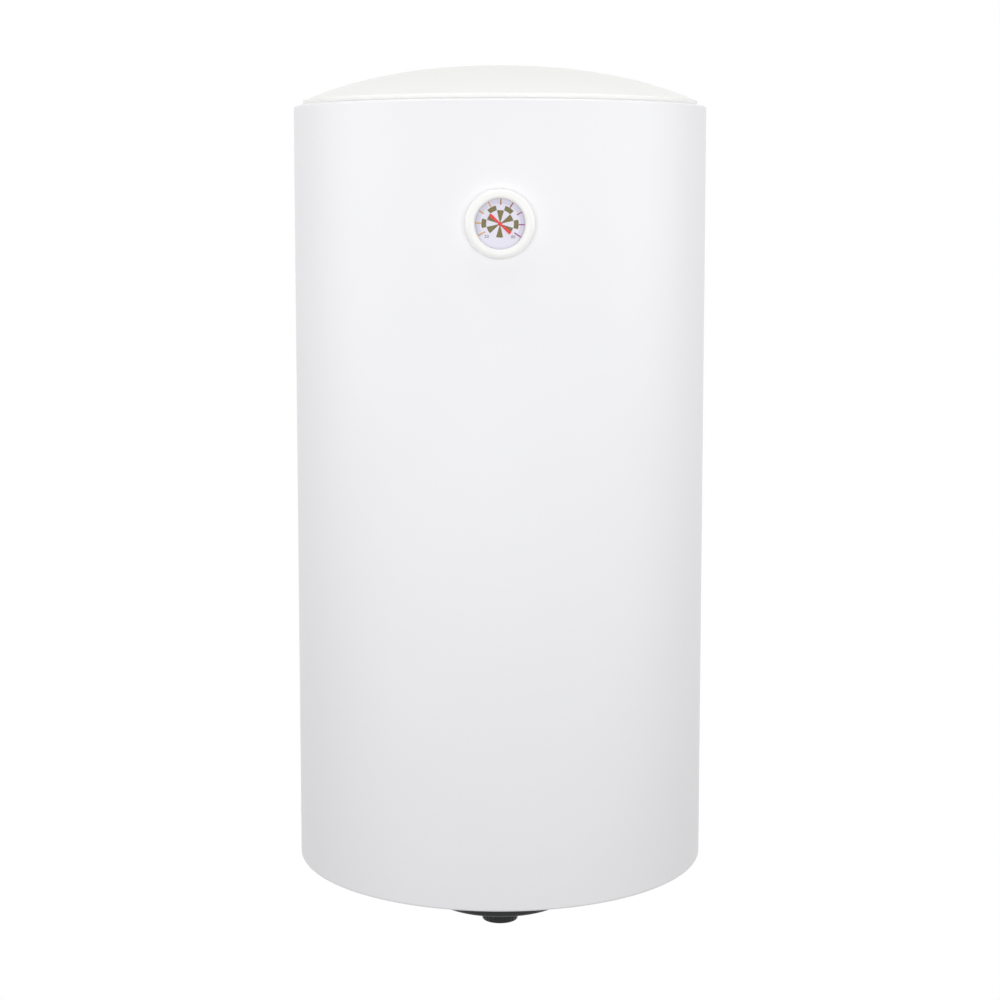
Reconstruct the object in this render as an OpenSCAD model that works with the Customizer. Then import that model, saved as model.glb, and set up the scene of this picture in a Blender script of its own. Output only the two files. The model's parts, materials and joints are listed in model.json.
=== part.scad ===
// Wall-hung storage water heater, electric, about 95 litres.
// Heights in the source are above the jacket's bottom edge and radii are from the jacket's axis.
// hung() then moves everything so that the origin lies on the wall, midway between the two
// hanging slots of the upper bracket. +Z is up, and the front of the heater faces -Y.

/* [Jacket] */
// Outer diameter of the jacket
jacket_d = 450; // [370:5:560]
// Height of the jacket, from edge to edge
jacket_h = 832; // [680:1:1100]
// Thickness of the painted sheet
jacket_t = 0.7; // [0.5:0.1:1.2]
// Outer radius of the folds along both edges
fold_r = 2.6; // [1.5:0.1:5]
// How far both edges are folded inwards
rim_w = 16; // [12:1:24]
// Height of the collars turned up inside both mouths
collar_h = 9; // [5:1:15]
// Width of the lock seam down the back
seam_w = 9; // [6:1:14]
// How far the lock seam stands proud
seam_t = 0.9; // [0.5:0.1:1.5]

/* [Top cover] */
// How far the cover's lip stands in from the jacket's side
lid_inset = 9.5; // [6:0.5:12]
// Height of the cover's upright lip
lip_h = 4.6; // [3:0.1:8]
// Height of the dome above the lip
dome_rise = 38.7; // [25:0.1:60]
// Share of the dome that curves with the fourth power, which fills its edge out
dome_fullness = 0.22; // [0:0.01:0.5]
// Shadow gap between the cover and the jacket
lid_gap = 0.8; // [0.4:0.1:2]
// Wall of the top and bottom covers
cover_wall = 2.5; // [2:0.1:4]
// Depth of the spigots that centre both covers in the jacket
spigot_h = 12; // [10:1:20]

/* [Bottom cover] */
// How far the cover's face is recessed above the jacket's edge
base_recess = 6; // [4:0.5:10]
// Gap between the flange and the service opening round it
service_gap = 3; // [2:0.5:6]
// Height of the stiffening ring on its face
bead_h = 1.5; // [0.8:0.1:3]
// Distance of the stiffening ring from the cover's edge
bead_inset = 22; // [12:1:30]

/* [Tank and insulation] */
// Thickness of the foam between tank and jacket
foam_t = 25; // [18:1:40]
// Wall of the steel tank
tank_wall = 1.8; // [1.5:0.1:3]
// Depth of the dished tank ends
end_depth = 66; // [50:1:80]
// Height of the tank's lowest point
tank_floor_z = 30; // [25:1:50]
// Space between the tank's highest point and the jacket's top edge
tank_head_gap = 10; // [0:1:40]

/* [Wall brackets] */
// Gap between the wall and the jacket
wall_gap = 15; // [10:1:40]
// Height of each bracket
bracket_h = 60; // [40:1:90]
// Thickness of the bracket's steel
bracket_t = 3; // [2:0.5:4]
// Distance between the hanging slots
slot_spacing = 180; // [120:5:240]
// Distance from each slot's middle to the bracket's side
slot_edge = 30; // [24:1:40]
// Width of each slot
slot_w = 11; // [9:0.5:14]
// Length of each slot
slot_l = 24; // [18:1:30]
// Distance from the jacket's top edge down to the upper slots
hang_drop = 172; // [150:1:260]
// Height of the lower slots
low_slot_z = 190; // [150:1:240]

/* [Water connections] */
// Distance between the cold and the hot pipe
pipe_spacing = 100; // [60:1:140]
// Distance of both pipes behind the axis
pipe_y = 112; // [100:1:130]
// Outer diameter of the half inch pipe thread
thread_d = 20.96; // [20:0.01:27]
// Length of the thread
thread_l = 17; // [14:1:20]
// Outer diameter of the nipple above its thread
nipple_d = 20; // [17:0.5:26]
// Diameter of the water way
bore_d = 15; // [12:0.5:16]
// How far the nipples reach below the jacket
nipple_drop = 28; // [24:1:45]

/* [Flange and heating] */
// Radius of the flange and its neck
flange_r = 58; // [54:0.5:70]
// Width of the neck's face, with the bolts in its middle
neck_w = 18; // [17:0.5:20]
// Number of flange bolts
bolt_count = 6; // [5:1:6]
// Diameter of the flange bolts
bolt_d = 8; // [6:1:10]
// Thickness of the flange plate
plate_t = 5; // [4:0.5:7]
// Thickness of the flange gasket
gasket_t = 3; // [2:0.5:4]
// Height of the face that the gasket seals
seal_z = 20; // [16:0.5:26]
// Diameter of the heating tube
element_d = 8.5; // [6.5:0.1:10.5]
// Height of the heating tube above the flange plate
element_h = 320; // [200:5:420]
// Diameter of the magnesium anode
anode_d = 22; // [16:1:27]
// Length of the magnesium anode
anode_l = 260; // [150:5:400]
// Length of the thermostat's pocket above the flange plate
pocket_l = 290; // [200:5:400]

/* [Terminal cover] */
// How far the cover's rim reaches beyond the service opening
hood_overlap = 24; // [23:0.5:30]
// How much narrower the cover is at its floor
hood_taper = 6; // [2:0.5:7]
// How far the cover hangs below the jacket
hood_drop = 58; // [48:0.5:80]
// Wall of the cover
hood_wall = 2.5; // [2:0.1:3]
// Radius round the cover's floor
hood_fillet = 6; // [4:0.5:8]

/* [Thermostat knob] */
// Diameter of the knob
knob_d = 42; // [34:1:52]
// Height of the knob
knob_h = 18; // [14:0.5:24]
// Distance of the knob in front of the axis
knob_y = 22; // [16:0.5:34]
// Gap between the knob and the cover
knob_gap = 1.2; // [0.8:0.1:3]
// Diameter of the thermostat's spindle
spindle_d = 6; // [5:0.5:7]

/* [Thermometer] */
// Distance from the jacket's top edge down to the thermometer's middle
dial_drop = 124; // [90:1:200]
// Diameter of the window
window_d = 50; // [40:1:64]
// Width of the bezel round the window
bezel_w = 10; // [8:0.5:16]
// How far the bezel stands out from the jacket
bezel_proud = 11; // [9:0.5:15]
// Length of each arm of the pointer
pointer_l = 14.3; // [10:0.1:20]
// Angle of the pointer's long arm, anticlockwise from straight up
pointer_angle = 48; // [-120:1:120]
// Number of turns of the bimetal coil
coil_turns = 5; // [3:1:7]

/* [Fits] */
// Gap left for the skin of the foam
foam_gap = 0.5; // [0.3:0.1:1]
// Radial clearance of covers in the mouths they sit in
cover_fit = 0.4; // [0.2:0.1:1]
// Radial clearance of screws and bolts in plain holes
bolt_fit = 0.4; // [0.2:0.05:0.6]
// Radial clearance of shafts in their bearings
run_fit = 0.05; // [0.02:0.01:0.09]
// Gap at brazed, welded and seated joints
seat_gap = 0.1; // [0.05:0.05:0.2]
// Radial gap between the pointer and its spindle
press_gap = 0.02; // [0.01:0.01:0.05]
// Gap beside the bracket's arms where they pass the jacket
arm_gap = 1; // [0.6:0.1:2]

/* [Hidden] */
$fn = 128;
fine = 256; // for wide cylinders that other pieces are fitted to
cut = 1; // how far cutting shapes run past the face they cut

// Casing
jacket_r = jacket_d / 2;
mouth_r = jacket_r - rim_w;
spigot_r = mouth_r - cover_fit;
spigot_bore = spigot_r - cover_wall;
lid_r = jacket_r - lid_inset;
lip_z = jacket_h + lid_gap;
dome_z = lip_z + lip_h;
hang_z = jacket_h - hang_drop;
axis_y = jacket_r + wall_gap;
base_top = base_recess + cover_wall;
bead_r = spigot_r - bead_inset;
neck_r = flange_r - neck_w;
bolt_circle_r = flange_r - neck_w / 2;
bolt_flats = 13 / 8 * bolt_d;
flange_reach = max(flange_r, bolt_circle_r + bolt_flats - 4);
service_r = flange_reach + service_gap;
service_top = seal_z + 4;
bracket_w = slot_spacing + 2 * slot_edge;

// Tank
tank_r = jacket_r - foam_t;
seam_lo = tank_floor_z + end_depth;
seam_hi = jacket_h - tank_head_gap - end_depth;
neck_top = tank_floor_z + 6;
pipe_r = norm([pipe_spacing / 2, pipe_y]);
pipe_entry_z = seam_lo - end_depth * sqrt(1 - pow(pipe_r / tank_r, 2));
nipple_top = pipe_entry_z + 16;

hot_tube_r = 8;
hot_seat_h = 12;
hot_tube_top = seam_hi + 30;
grommet_neck_r = nipple_d / 2 + cover_fit + 3.1;
grommet_r = grommet_neck_r + 5.5;
grommet_t = 2.5;

// Flange and what hangs below it
plate_top = seal_z - gasket_t;
plate_z = plate_top - plate_t;
washer_t = 1.6;
bolt_head_h = 5.3;
element_xs = [-24, -8, 8, 24];
element_y = 4;
element_r = element_d / 2;
bend_r = 8;
pocket_y = -10;
pocket_r = 6;
pocket_bore = 4.6;
pocket_top = plate_top + pocket_l;
anode_y = 22;
anode_stud_r = 3;
anode_nut_h = 5;
anode_stud_top = plate_top + 35;
element_end_z = plate_z - 4;
insulator_h = 3;
tab_pin_r = 1.5;

// Thermostat
body_size = [54, 56, 28];
body_top = plate_z - washer_t - bolt_head_h - 1;
body_floor = body_top - body_size[2];
body_y = -18;
rod_r = 4.2;
rod_seat = 6;
tab_floor = body_top - 8;
tab_w = 6.3;
tab_t = 0.8;
spindle_r = spindle_d / 2;
spindle_top = body_floor + 14;
reset_x = 17;
reset_r = 2.5;
reset_proud = 3;
reset_top = body_floor + 6;
reset_bore_top = body_floor + 10;

// Terminals
block_size = [38, 16, 14];
block_y = flange_reach - block_size[1] / 2;
block_top = plate_z - 18;
block_floor = block_top - block_size[2];
block_front = block_y - block_size[1] / 2;
pole_xs = [-12, 0, 12];
entry_z = block_top - 9;
entry_depth = 6;
terminal_screw_r = 2.5;
wire_r = 1.4;
earth_x = 40;
earth_stud_r = 2.5;
earth_stud_l = 12;
earth_nut_z = plate_z - 7;
earth_tag_z = plate_z - 2.9;

// Terminal cover
hood_r = service_r + hood_overlap;
hood_floor_r = hood_r - hood_taper;
hood_floor = -hood_drop;
hood_floor_top = hood_floor + hood_wall;
knob_top = hood_floor - knob_gap;
knob_floor = knob_top - knob_h;
socket_z = knob_floor + 3;
flat_depth = 1.5;
flat_h = 12;
screw_r = 2;
screw_x = service_r + 10;
screw_head_r = 3.6;
screw_head_h = 2.4;
screw_head_z = hood_floor + 40;
screw_top = base_top + 9;
boss_r = 4.6;
lamp_y = 17;
lamp_r = 5;
lamp_top = hood_floor_top + 16;

// Cable gland
gland_y = 50;
gland_r = 8;
gland_tip_r = 7.5;
gland_hex_z = hood_floor - 4;
gland_tip_z = hood_floor - 13;
gland_flats = 19;
seal_top = hood_floor - 3;
seal_floor = hood_floor - 14;
seal_r = 6.2;
cable_r = 4.2;

// Thermometer, measured along its own axis from the jacket's axis
dial_z = jacket_h - dial_drop;
window_r = window_d / 2;
bezel_r = window_r + bezel_w;
bezel_back = jacket_r - 6;
bezel_front = jacket_r + bezel_proud;
cup_r = window_r - 1;
cup_wall = 1.4;
cup_flange_r = window_r + 5;
cup_flange_t = 2;
cup_floor = tank_r + 4;
cup_inside = cup_floor + cup_wall;
bearing_top = cup_inside + 3;
coil_back = cup_floor + 7;
coil_h = 4;
coil_r = 13;
coil_strip = 0.2;
flange_front = jacket_r + 3;
dial_t = 0.6;
dial_plate_r = window_r + 2;
lens_t = 1.5;
lens_back = flange_front + 2.5;
lens_front = lens_back + lens_t;
arbor_r = 0.75;
pointer_t = 0.5;
pointer_back = flange_front + dial_t + 0.6;
pointer_front = pointer_back + pointer_t;
contact_r = 15;
clip_r = cup_flange_r - 1;
clip_t = 1.5;

function unit(v) = v / norm(v);
function reversed(v) = [for (i = [len(v) - 1:-1:0]) v[i]];
// Points on an arc of radius r about [x, y], from angle a to angle b
function arc(x, y, r, a, b, n = 6) =
    [for (i = [0:n]) let (t = a + (b - a) * i / n) [x + r * cos(t), y + r * sin(t)]];
// Height of the top cover's outer face at radius r
function lid_height(r) = let (s = r / lid_r)
    dome_z + dome_rise * (1 - (1 - dome_fullness) * pow(s, 2) - dome_fullness * pow(s, 4));
// Quarter of an ellipse from the seam to the middle, for a dished end
function dish(r, depth, n = 18) =
    [for (i = [0:n]) let (t = 90 * i / n) [r * cos(t), depth * sin(t)]];
// Points of a cubic curve with four control points
function curve(p, n = 14) = [for (i = [0:n]) let (t = i / n, s = 1 - t)
    s * s * s * p[0] + 3 * s * s * t * p[1] + 3 * s * t * t * p[2] + t * t * t * p[3]];

// Radius through a hexagon's corners, from its size across flats
function hexagon_r(flats) = flats / sqrt(3);

// From the jacket's axis and bottom edge to the wall and the hanging slots
module hung() {
    translate([0, -axis_y, -hang_z]) children();
}

// A shape about the thermometer's axis, with its own +Z out of the front of the jacket
module at_dial() {
    hung() translate([0, 0, dial_z]) rotate([90, 0, 0]) children();
}

// A ring between two radii and two heights
module ring(outer, inner, z0, z1) {
    translate([0, 0, z0]) difference() {
        cylinder(r = outer, h = z1 - z0);
        translate([0, 0, -cut]) cylinder(r = inner, h = z1 - z0 + 2 * cut);
    }
}

// A plain cylinder between two heights
module rod(r, z0, z1, fn = $fn) {
    translate([0, 0, z0]) cylinder(r = r, h = z1 - z0, $fn = fn);
}

// A copy at every bolt of the flange, or at all but the first
module at_bolts(first = 0) {
    for (i = [first:bolt_count - 1])
        rotate([0, 0, 90 + i * 360 / bolt_count]) translate([bolt_circle_r, 0, 0]) children();
}

// A place on a pipe's axis: side 1 is the cold pipe on the right, -1 the hot pipe on the left
module at_pipe(side) {
    translate([side * pipe_spacing / 2, pipe_y, 0]) children();
}

// A closed tube along a list of points; ref is a direction that the path never takes
module tube(path, r, sides = 8, ref = [0, 0, 1]) {
    last = len(path) - 1;
    rings = [for (i = [0:last])
        let (t = unit(path[min(i + 1, last)] - path[max(i - 1, 0)]),
             u = unit(cross(t, ref)), v = cross(u, t))
        for (k = [0:sides - 1])
            path[i] + r * (cos(360 * k / sides) * u + sin(360 * k / sides) * v)];
    sides_faces = [for (i = [0:last - 1], k = [0:sides - 1]) let (m = (k + 1) % sides)
        [i * sides + k, i * sides + m, (i + 1) * sides + m, (i + 1) * sides + k]];
    near_cap = [for (k = [sides - 1:-1:0]) k];
    far_cap = [for (k = [0:sides - 1]) last * sides + k];
    polyhedron(points = rings, faces = concat([near_cap, far_cap], sides_faces));
}

// The arms of both wall brackets, grown by a gap, for the openings they pass through
module arm_space(gap) {
    for (z = [hang_z, low_slot_z], s = [-1, 1])
        translate([s * (bracket_w - bracket_t) / 2 - bracket_t / 2 - gap, 0, z - bracket_h / 2 - gap])
            cube([bracket_t + 2 * gap, axis_y + cut, bracket_h + 2 * gap]);
}

// ---- Casing ----

module jacket() {
    inner_r = fold_r - jacket_t;
    low = fold_r;
    high = jacket_h - fold_r;
    edge = jacket_r - fold_r;
    seam_angle = seam_w / jacket_r * 180 / PI;
    color("white") hung() difference() {
        union() {
            rotate_extrude() polygon(concat(
                [[mouth_r, collar_h], [mouth_r, 0]],
                arc(edge, low, fold_r, -90, 0),
                arc(edge, high, fold_r, 0, 90),
                [[mouth_r, jacket_h], [mouth_r, jacket_h - collar_h],
                 [mouth_r + jacket_t, jacket_h - collar_h],
                 [mouth_r + jacket_t, jacket_h - jacket_t]],
                arc(edge, high, inner_r, 90, 0),
                arc(edge, low, inner_r, 0, -90),
                [[mouth_r + jacket_t, jacket_t], [mouth_r + jacket_t, collar_h]]));
            rotate([0, 0, 90 - seam_angle / 2]) rotate_extrude(angle = seam_angle)
                translate([jacket_r - jacket_t / 2, 2 * fold_r])
                    square([seam_t + jacket_t / 2, jacket_h - 4 * fold_r]);
        }
        arm_space(arm_gap);
        translate([0, 0, dial_z]) rotate([90, 0, 0]) cylinder(r = cup_r + arm_gap, h = 2 * jacket_r);
    }
}

module top_cover() {
    steps = 24;
    soft = 1.2; // rounding of the lip's edge
    color("white") hung() rotate_extrude() polygon(concat(
        [[lid_r, lip_z]],
        arc(lid_r - soft, dome_z - soft, soft, 0, 60, 4),
        [for (i = [1:steps]) let (r = (lid_r - 2 * soft) * (1 - i / steps)) [r, lid_height(r)]],
        [for (i = [0:steps]) let (r = spigot_bore * i / steps) [r, lid_height(r) - cover_wall]],
        [[spigot_bore, jacket_h - spigot_h], [spigot_r, jacket_h - spigot_h], [spigot_r, lip_z]]));
}

module bottom_cover() {
    spigot_top = base_recess + spigot_h;
    bead_foot = 5; // half widths of the ring
    bead_crest = 3;
    color("gainsboro") hung() difference() {
        union() {
            rotate_extrude() polygon([
                [service_r, base_recess], [spigot_r, base_recess], [spigot_r, spigot_top],
                [spigot_bore, spigot_top], [spigot_bore, base_top],
                [service_r + cover_wall, base_top], [service_r + cover_wall, service_top],
                [service_r, service_top]]);
            rotate_extrude() polygon([
                [bead_r - bead_foot, base_top], [bead_r - bead_foot, base_recess],
                [bead_r - bead_crest, base_recess - bead_h], [bead_r + bead_crest, base_recess - bead_h],
                [bead_r + bead_foot, base_recess], [bead_r + bead_foot, base_top]]);
            for (s = [-1, 1]) translate([s * screw_x, 0, 0]) rod(boss_r, base_recess, screw_top + 1);
        }
        for (s = [-1, 1]) {
            at_pipe(s) rod(grommet_neck_r + cover_fit, base_recess - cut, base_top + cut);
            translate([s * screw_x, 0, 0]) rod(screw_r + run_fit, base_recess - cut, screw_top);
        }
    }
}

module foam() {
    steps = 16;
    outer = jacket_r - jacket_t - foam_gap;
    inner = spigot_bore - foam_gap;
    low = base_recess + spigot_h + foam_gap;
    high = jacket_h - spigot_h - foam_gap;
    floor_z = base_top + foam_gap;
    tank_gap_r = tank_r + foam_gap;
    tank_gap_depth = end_depth + foam_gap;
    color("khaki") hung() difference() {
        rotate_extrude() polygon(concat(
            [[0, floor_z], [inner, floor_z], [inner, low], [outer, low], [outer, high], [inner, high]],
            [for (i = [0:steps]) let (r = inner * (1 - i / steps))
                [r, lid_height(r) - cover_wall - foam_gap]]));
        rotate_extrude() polygon(concat(
            [for (p = dish(tank_gap_r, tank_gap_depth)) [p[0], seam_hi + p[1]]],
            [for (p = reversed(dish(tank_gap_r, tank_gap_depth))) [p[0], seam_lo - p[1]]]));
        rod(service_r + cover_wall + foam_gap, floor_z - cut, seam_lo);
        for (s = [-1, 1]) {
            at_pipe(s) rod(grommet_neck_r + foam_gap, floor_z - cut, seam_lo);
            translate([s * screw_x, 0, 0]) rod(boss_r + foam_gap, floor_z - cut, screw_top + 1 + foam_gap);
        }
        arm_space(foam_gap);
        translate([0, 0, dial_z]) rotate([90, 0, 0]) {
            rod(cup_r + foam_gap, tank_r - 10, jacket_r);
            rod(clip_r + foam_gap, bezel_back - foam_gap, jacket_r);
        }
    }
}

// ---- Wall brackets ----

// A bent steel channel; its back lies on the wall and its arms are welded to the tank
module bracket(z) {
    half = bracket_w / 2;
    inside = half - bracket_t;
    corner = 2 * bracket_t; // outer radius of the bends
    back = axis_y;
    color("lightgray") hung() translate([0, 0, z - bracket_h / 2]) difference() {
        linear_extrude(bracket_h) polygon(concat(
            [[half, 0], [half, back - corner]],
            arc(half - corner, back - corner, corner, 0, 90),
            arc(corner - half, back - corner, corner, 90, 180),
            [[-half, 0], [-inside, 0]],
            arc(corner - half, back - corner, corner - bracket_t, 180, 90),
            arc(half - corner, back - corner, corner - bracket_t, 90, 0),
            [[inside, 0]]));
        translate([0, 0, -cut])
            cylinder(r = tank_r + seat_gap, h = bracket_h + 2 * cut, $fn = fine);
        for (s = [-1, 1]) translate([s * slot_spacing / 2, back + cut, bracket_h / 2])
            rotate([90, 0, 0]) {
                for (e = [-1, 1]) translate([e * (slot_l - slot_w) / 2, 0, 0])
                    cylinder(r = slot_w / 2, h = bracket_t + 2 * cut);
                translate([-(slot_l - slot_w) / 2, -slot_w / 2, 0])
                    cube([slot_l - slot_w, slot_w, bracket_t + 2 * cut]);
            }
    }
}

module upper_bracket() { bracket(hang_z); }

module lower_bracket() { bracket(low_slot_z); }

// ---- Tank ----

module tank_shell() {
    color("steelblue") hung() ring(tank_r, tank_r - tank_wall, seam_lo, seam_hi);
}

// A dished end, opening upwards from its seam at the origin
module tank_end() {
    rotate_extrude() polygon(concat(
        dish(tank_r, end_depth),
        reversed(dish(tank_r - tank_wall, end_depth - tank_wall))));
}

module tank_top_end() {
    color("steelblue") hung() translate([0, 0, seam_hi]) tank_end();
}

module tank_bottom_end() {
    color("steelblue") hung() difference() {
        translate([0, 0, seam_lo]) mirror([0, 0, 1]) tank_end();
        rod(flange_r + seat_gap, 0, seam_lo);
        for (s = [-1, 1]) at_pipe(s) rod(nipple_d / 2 + seat_gap, 0, seam_lo);
    }
}

module flange_ring() {
    color("steelblue") hung() difference() {
        ring(flange_r, neck_r, seal_z, neck_top);
        at_bolts() rod(bolt_d / 2 + run_fit, seal_z - cut, neck_top - 2);
    }
}

// ---- Water connections ----

module nipple(side) {
    chamfer = 1;
    thread_floor = chamfer - nipple_drop;
    thread_top = thread_floor + thread_l;
    color("silver") hung() at_pipe(side) difference() {
        union() {
            translate([0, 0, -nipple_drop])
                cylinder(r1 = thread_d / 2 - chamfer, r2 = thread_d / 2, h = chamfer);
            rod(thread_d / 2, thread_floor, thread_top);
            rod(nipple_d / 2, thread_top, nipple_top);
        }
        rod(bore_d / 2, -nipple_drop - cut, nipple_top + cut);
        if (side < 0) rod(hot_tube_r + seat_gap, nipple_top - hot_seat_h, nipple_top + cut);
    }
}

module cold_nipple() { nipple(1); }

module hot_nipple() { nipple(-1); }

// A cap with slots round it, which turns the cold water aside
module cold_diffuser() {
    wall = 1.5;
    sleeve_r = nipple_d / 2 + seat_gap;
    sleeve_floor = nipple_top - 8;
    cap_r = sleeve_r + 4;
    cap_top = nipple_top + 16;
    slot = [2 * (cap_r + 2 * wall), 6, 8];
    color("ivory") hung() at_pipe(1) difference() {
        union() {
            rod(sleeve_r + wall, sleeve_floor, nipple_top);
            rod(cap_r + wall, nipple_top, cap_top);
        }
        rod(sleeve_r, sleeve_floor - cut, nipple_top + cut);
        rod(cap_r, nipple_top + wall, cap_top - wall);
        for (a = [0:45:135]) rotate([0, 0, a])
            translate([-slot[0] / 2, -slot[1] / 2, nipple_top + (16 - slot[2]) / 2]) cube(slot);
    }
}

module hot_outlet_tube() {
    wall = 1;
    color("silver") hung() at_pipe(-1)
        ring(hot_tube_r, hot_tube_r - wall, nipple_top - hot_seat_h, hot_tube_top);
}

// A flanged plastic collar round a pipe, pushed into the bottom cover
module grommet(side, shade) {
    low = base_recess - grommet_t;
    high = base_top + 2;
    color(shade) hung() at_pipe(side) difference() {
        union() {
            rod(grommet_r, low, base_recess);
            rod(grommet_neck_r, low, high);
        }
        rod(nipple_d / 2 + cover_fit, low - cut, high + cut);
    }
}

module cold_grommet() { grommet(1, "royalblue"); }

module hot_grommet() { grommet(-1, "crimson"); }

// ---- Flange and heating ----

module flange_gasket() {
    color("dimgray") hung() difference() {
        ring(flange_r, neck_r, plate_top, seal_z);
        at_bolts() rod(bolt_d / 2 + bolt_fit, plate_top - cut, seal_z + cut);
    }
}

module flange_plate() {
    color("silver") hung() difference() {
        rod(flange_r, plate_z, plate_top);
        at_bolts() rod(bolt_d / 2 + bolt_fit, plate_z - cut, plate_top + cut);
        for (x = [element_xs[0], element_xs[3]]) translate([x, element_y, 0])
            rod(element_r + seat_gap, plate_z - cut, plate_top + cut);
        translate([0, pocket_y, 0]) rod(pocket_r + seat_gap, plate_z - cut, plate_top + cut);
        translate([0, anode_y, 0]) rod(anode_stud_r + seat_gap, plate_z - cut, plate_top + cut);
    }
}

// The first bolt clamps the terminal bracket's foot, so it has no washer
module flange_washers() {
    color("lightgray") hung() at_bolts(1) ring(bolt_d, bolt_d / 2 + bolt_fit, plate_z - washer_t, plate_z);
}

module flange_bolts() {
    seat = plate_z - washer_t;
    color("lightgray") hung() at_bolts() union() {
        rod(bolt_d / 2, seat, neck_top - 4);
        rod(hexagon_r(bolt_flats), seat - bolt_head_h, seat, 6);
    }
}

// One tube bent into a W: two outer legs through the plate, two inner legs, three bends
module heating_element() {
    top = plate_top + element_h;
    low = plate_top + 50;
    mid = (element_xs[2] + element_xs[3]) / 2;
    color("peru") hung() translate([0, element_y, 0]) {
        for (x = [element_xs[0], element_xs[3]]) translate([x, 0, 0]) rod(element_r, element_end_z, top);
        for (x = [element_xs[1], element_xs[2]]) translate([x, 0, 0]) rod(element_r, low, top);
        for (s = [-1, 1]) translate([s * mid, 0, top]) half_turn(0);
        translate([0, 0, low]) half_turn(180);
    }
}

// Half a turn of heating tube, arched upwards, or downwards when turned over
module half_turn(turn) {
    rotate([90, turn, 0]) rotate_extrude(angle = 180) translate([bend_r, 0]) circle(element_r);
}

module element_insulators() {
    color("ivory") hung() for (x = [element_xs[0], element_xs[3]]) translate([x, element_y, 0])
        ring(element_r, tab_pin_r + seat_gap, element_end_z - insulator_h, element_end_z);
}

module element_tabs() {
    tab_top = element_end_z - insulator_h;
    color("silver") hung() for (x = [element_xs[0], element_xs[3]]) translate([x, element_y, 0]) {
        rod(tab_pin_r, tab_top - tab_t, element_end_z - seat_gap);
        translate([-tab_t / 2, -tab_w / 2, tab_floor]) cube([tab_t, tab_w, tab_top - tab_floor]);
    }
}

module anode_rod() {
    low = plate_top + 12;
    color("darkgray") hung() translate([0, anode_y, 0]) difference() {
        rod(anode_d / 2, low, low + anode_l);
        rod(anode_stud_r + seat_gap, low - cut, anode_stud_top + 2);
    }
}

module anode_stud() {
    low = plate_z - anode_nut_h - 2;
    color("gray") hung() translate([0, anode_y, 0]) rod(anode_stud_r, low, anode_stud_top);
}

module anode_nut() {
    low = plate_z - anode_nut_h;
    color("lightgray") hung() translate([0, anode_y, 0]) difference() {
        rod(hexagon_r(10), low, plate_z, 6);
        rod(anode_stud_r + run_fit, low - cut, plate_z + cut);
    }
}

module thermostat_pocket() {
    color("silver") hung() translate([0, pocket_y, 0]) difference() {
        rod(pocket_r, plate_z, pocket_top);
        rod(pocket_bore, plate_z - cut, pocket_top - 2);
    }
}

// ---- Thermostat ----

module thermostat_rod() {
    color("goldenrod") hung() translate([0, pocket_y, 0]) rod(rod_r, body_top - rod_seat, pocket_top - 12);
}

module thermostat_body() {
    corner = 3;
    half = body_size / 2;
    color("dimgray") hung() difference() {
        translate([0, body_y, body_floor]) linear_extrude(body_size[2]) polygon(concat(
            arc(half[0] - corner, half[1] - corner, corner, 0, 90),
            arc(corner - half[0], half[1] - corner, corner, 90, 180),
            arc(corner - half[0], corner - half[1], corner, 180, 270),
            arc(half[0] - corner, corner - half[1], corner, 270, 360)));
        translate([0, pocket_y, 0])
            rod(rod_r + seat_gap, body_top - rod_seat - seat_gap, body_top + cut);
        translate([0, -knob_y, 0]) rod(spindle_r + run_fit, body_floor - cut, spindle_top + 1);
        translate([reset_x, -knob_y, 0]) rod(reset_r + run_fit, body_floor - cut, reset_bore_top);
        for (x = [element_xs[0], element_xs[3]])
            translate([x - tab_t / 2 - seat_gap, element_y - tab_w / 2 - seat_gap, tab_floor - 1])
                cube([tab_t + 2 * seat_gap, tab_w + 2 * seat_gap, body_size[2]]);
    }
}

module thermostat_spindle() {
    color("gold") hung() translate([0, -knob_y, 0]) difference() {
        rod(spindle_r, socket_z, spindle_top);
        translate([spindle_r - flat_depth, -spindle_r, socket_z - cut])
            cube([spindle_d, spindle_d, flat_h + cut]);
    }
}

// A turned cup with a hub, and with flutes round its side for the grip
module thermostat_knob() {
    flutes = 24;
    flute_r = 1.6;
    wall = 2.2;
    soft = 2; // rounding of the lower edge
    draft = 1; // how much narrower the grip is at its foot
    skirt_h = 3;
    grip_r = knob_d / 2;
    inside = grip_r - draft - wall;
    hub_r = spindle_r + 2.5;
    hub_top = knob_top - 1;
    socket_r = spindle_r + seat_gap / 2;
    color("black") hung() translate([0, -knob_y, 0]) difference() {
        intersection() {
            rotate_extrude() polygon(concat(
                [[0, knob_floor]],
                arc(grip_r - draft - soft, knob_floor + soft, soft, -90, -5, 5),
                [[grip_r, knob_top - skirt_h], [grip_r, knob_top],
                 [inside, knob_top], [inside, knob_floor + wall],
                 [hub_r, knob_floor + wall], [hub_r, hub_top], [0, hub_top]]));
            translate([0, 0, knob_floor - cut]) linear_extrude(knob_h + 2 * cut) difference() {
                circle(grip_r + cut);
                for (i = [0:flutes - 1]) rotate(i * 360 / flutes)
                    translate([grip_r + flute_r - 0.6, 0]) circle(flute_r, $fn = 12);
            }
        }
        difference() {
            rod(socket_r, socket_z, knob_top + cut);
            translate([spindle_r - flat_depth + seat_gap / 2, -spindle_r - cut, socket_z - cut])
                cube([spindle_d, spindle_d + 2 * cut, flat_h + cut]);
        }
    }
}

module reset_button() {
    color("red") hung() translate([reset_x, -knob_y, 0]) rod(reset_r, body_floor - reset_proud, reset_top);
}

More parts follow.
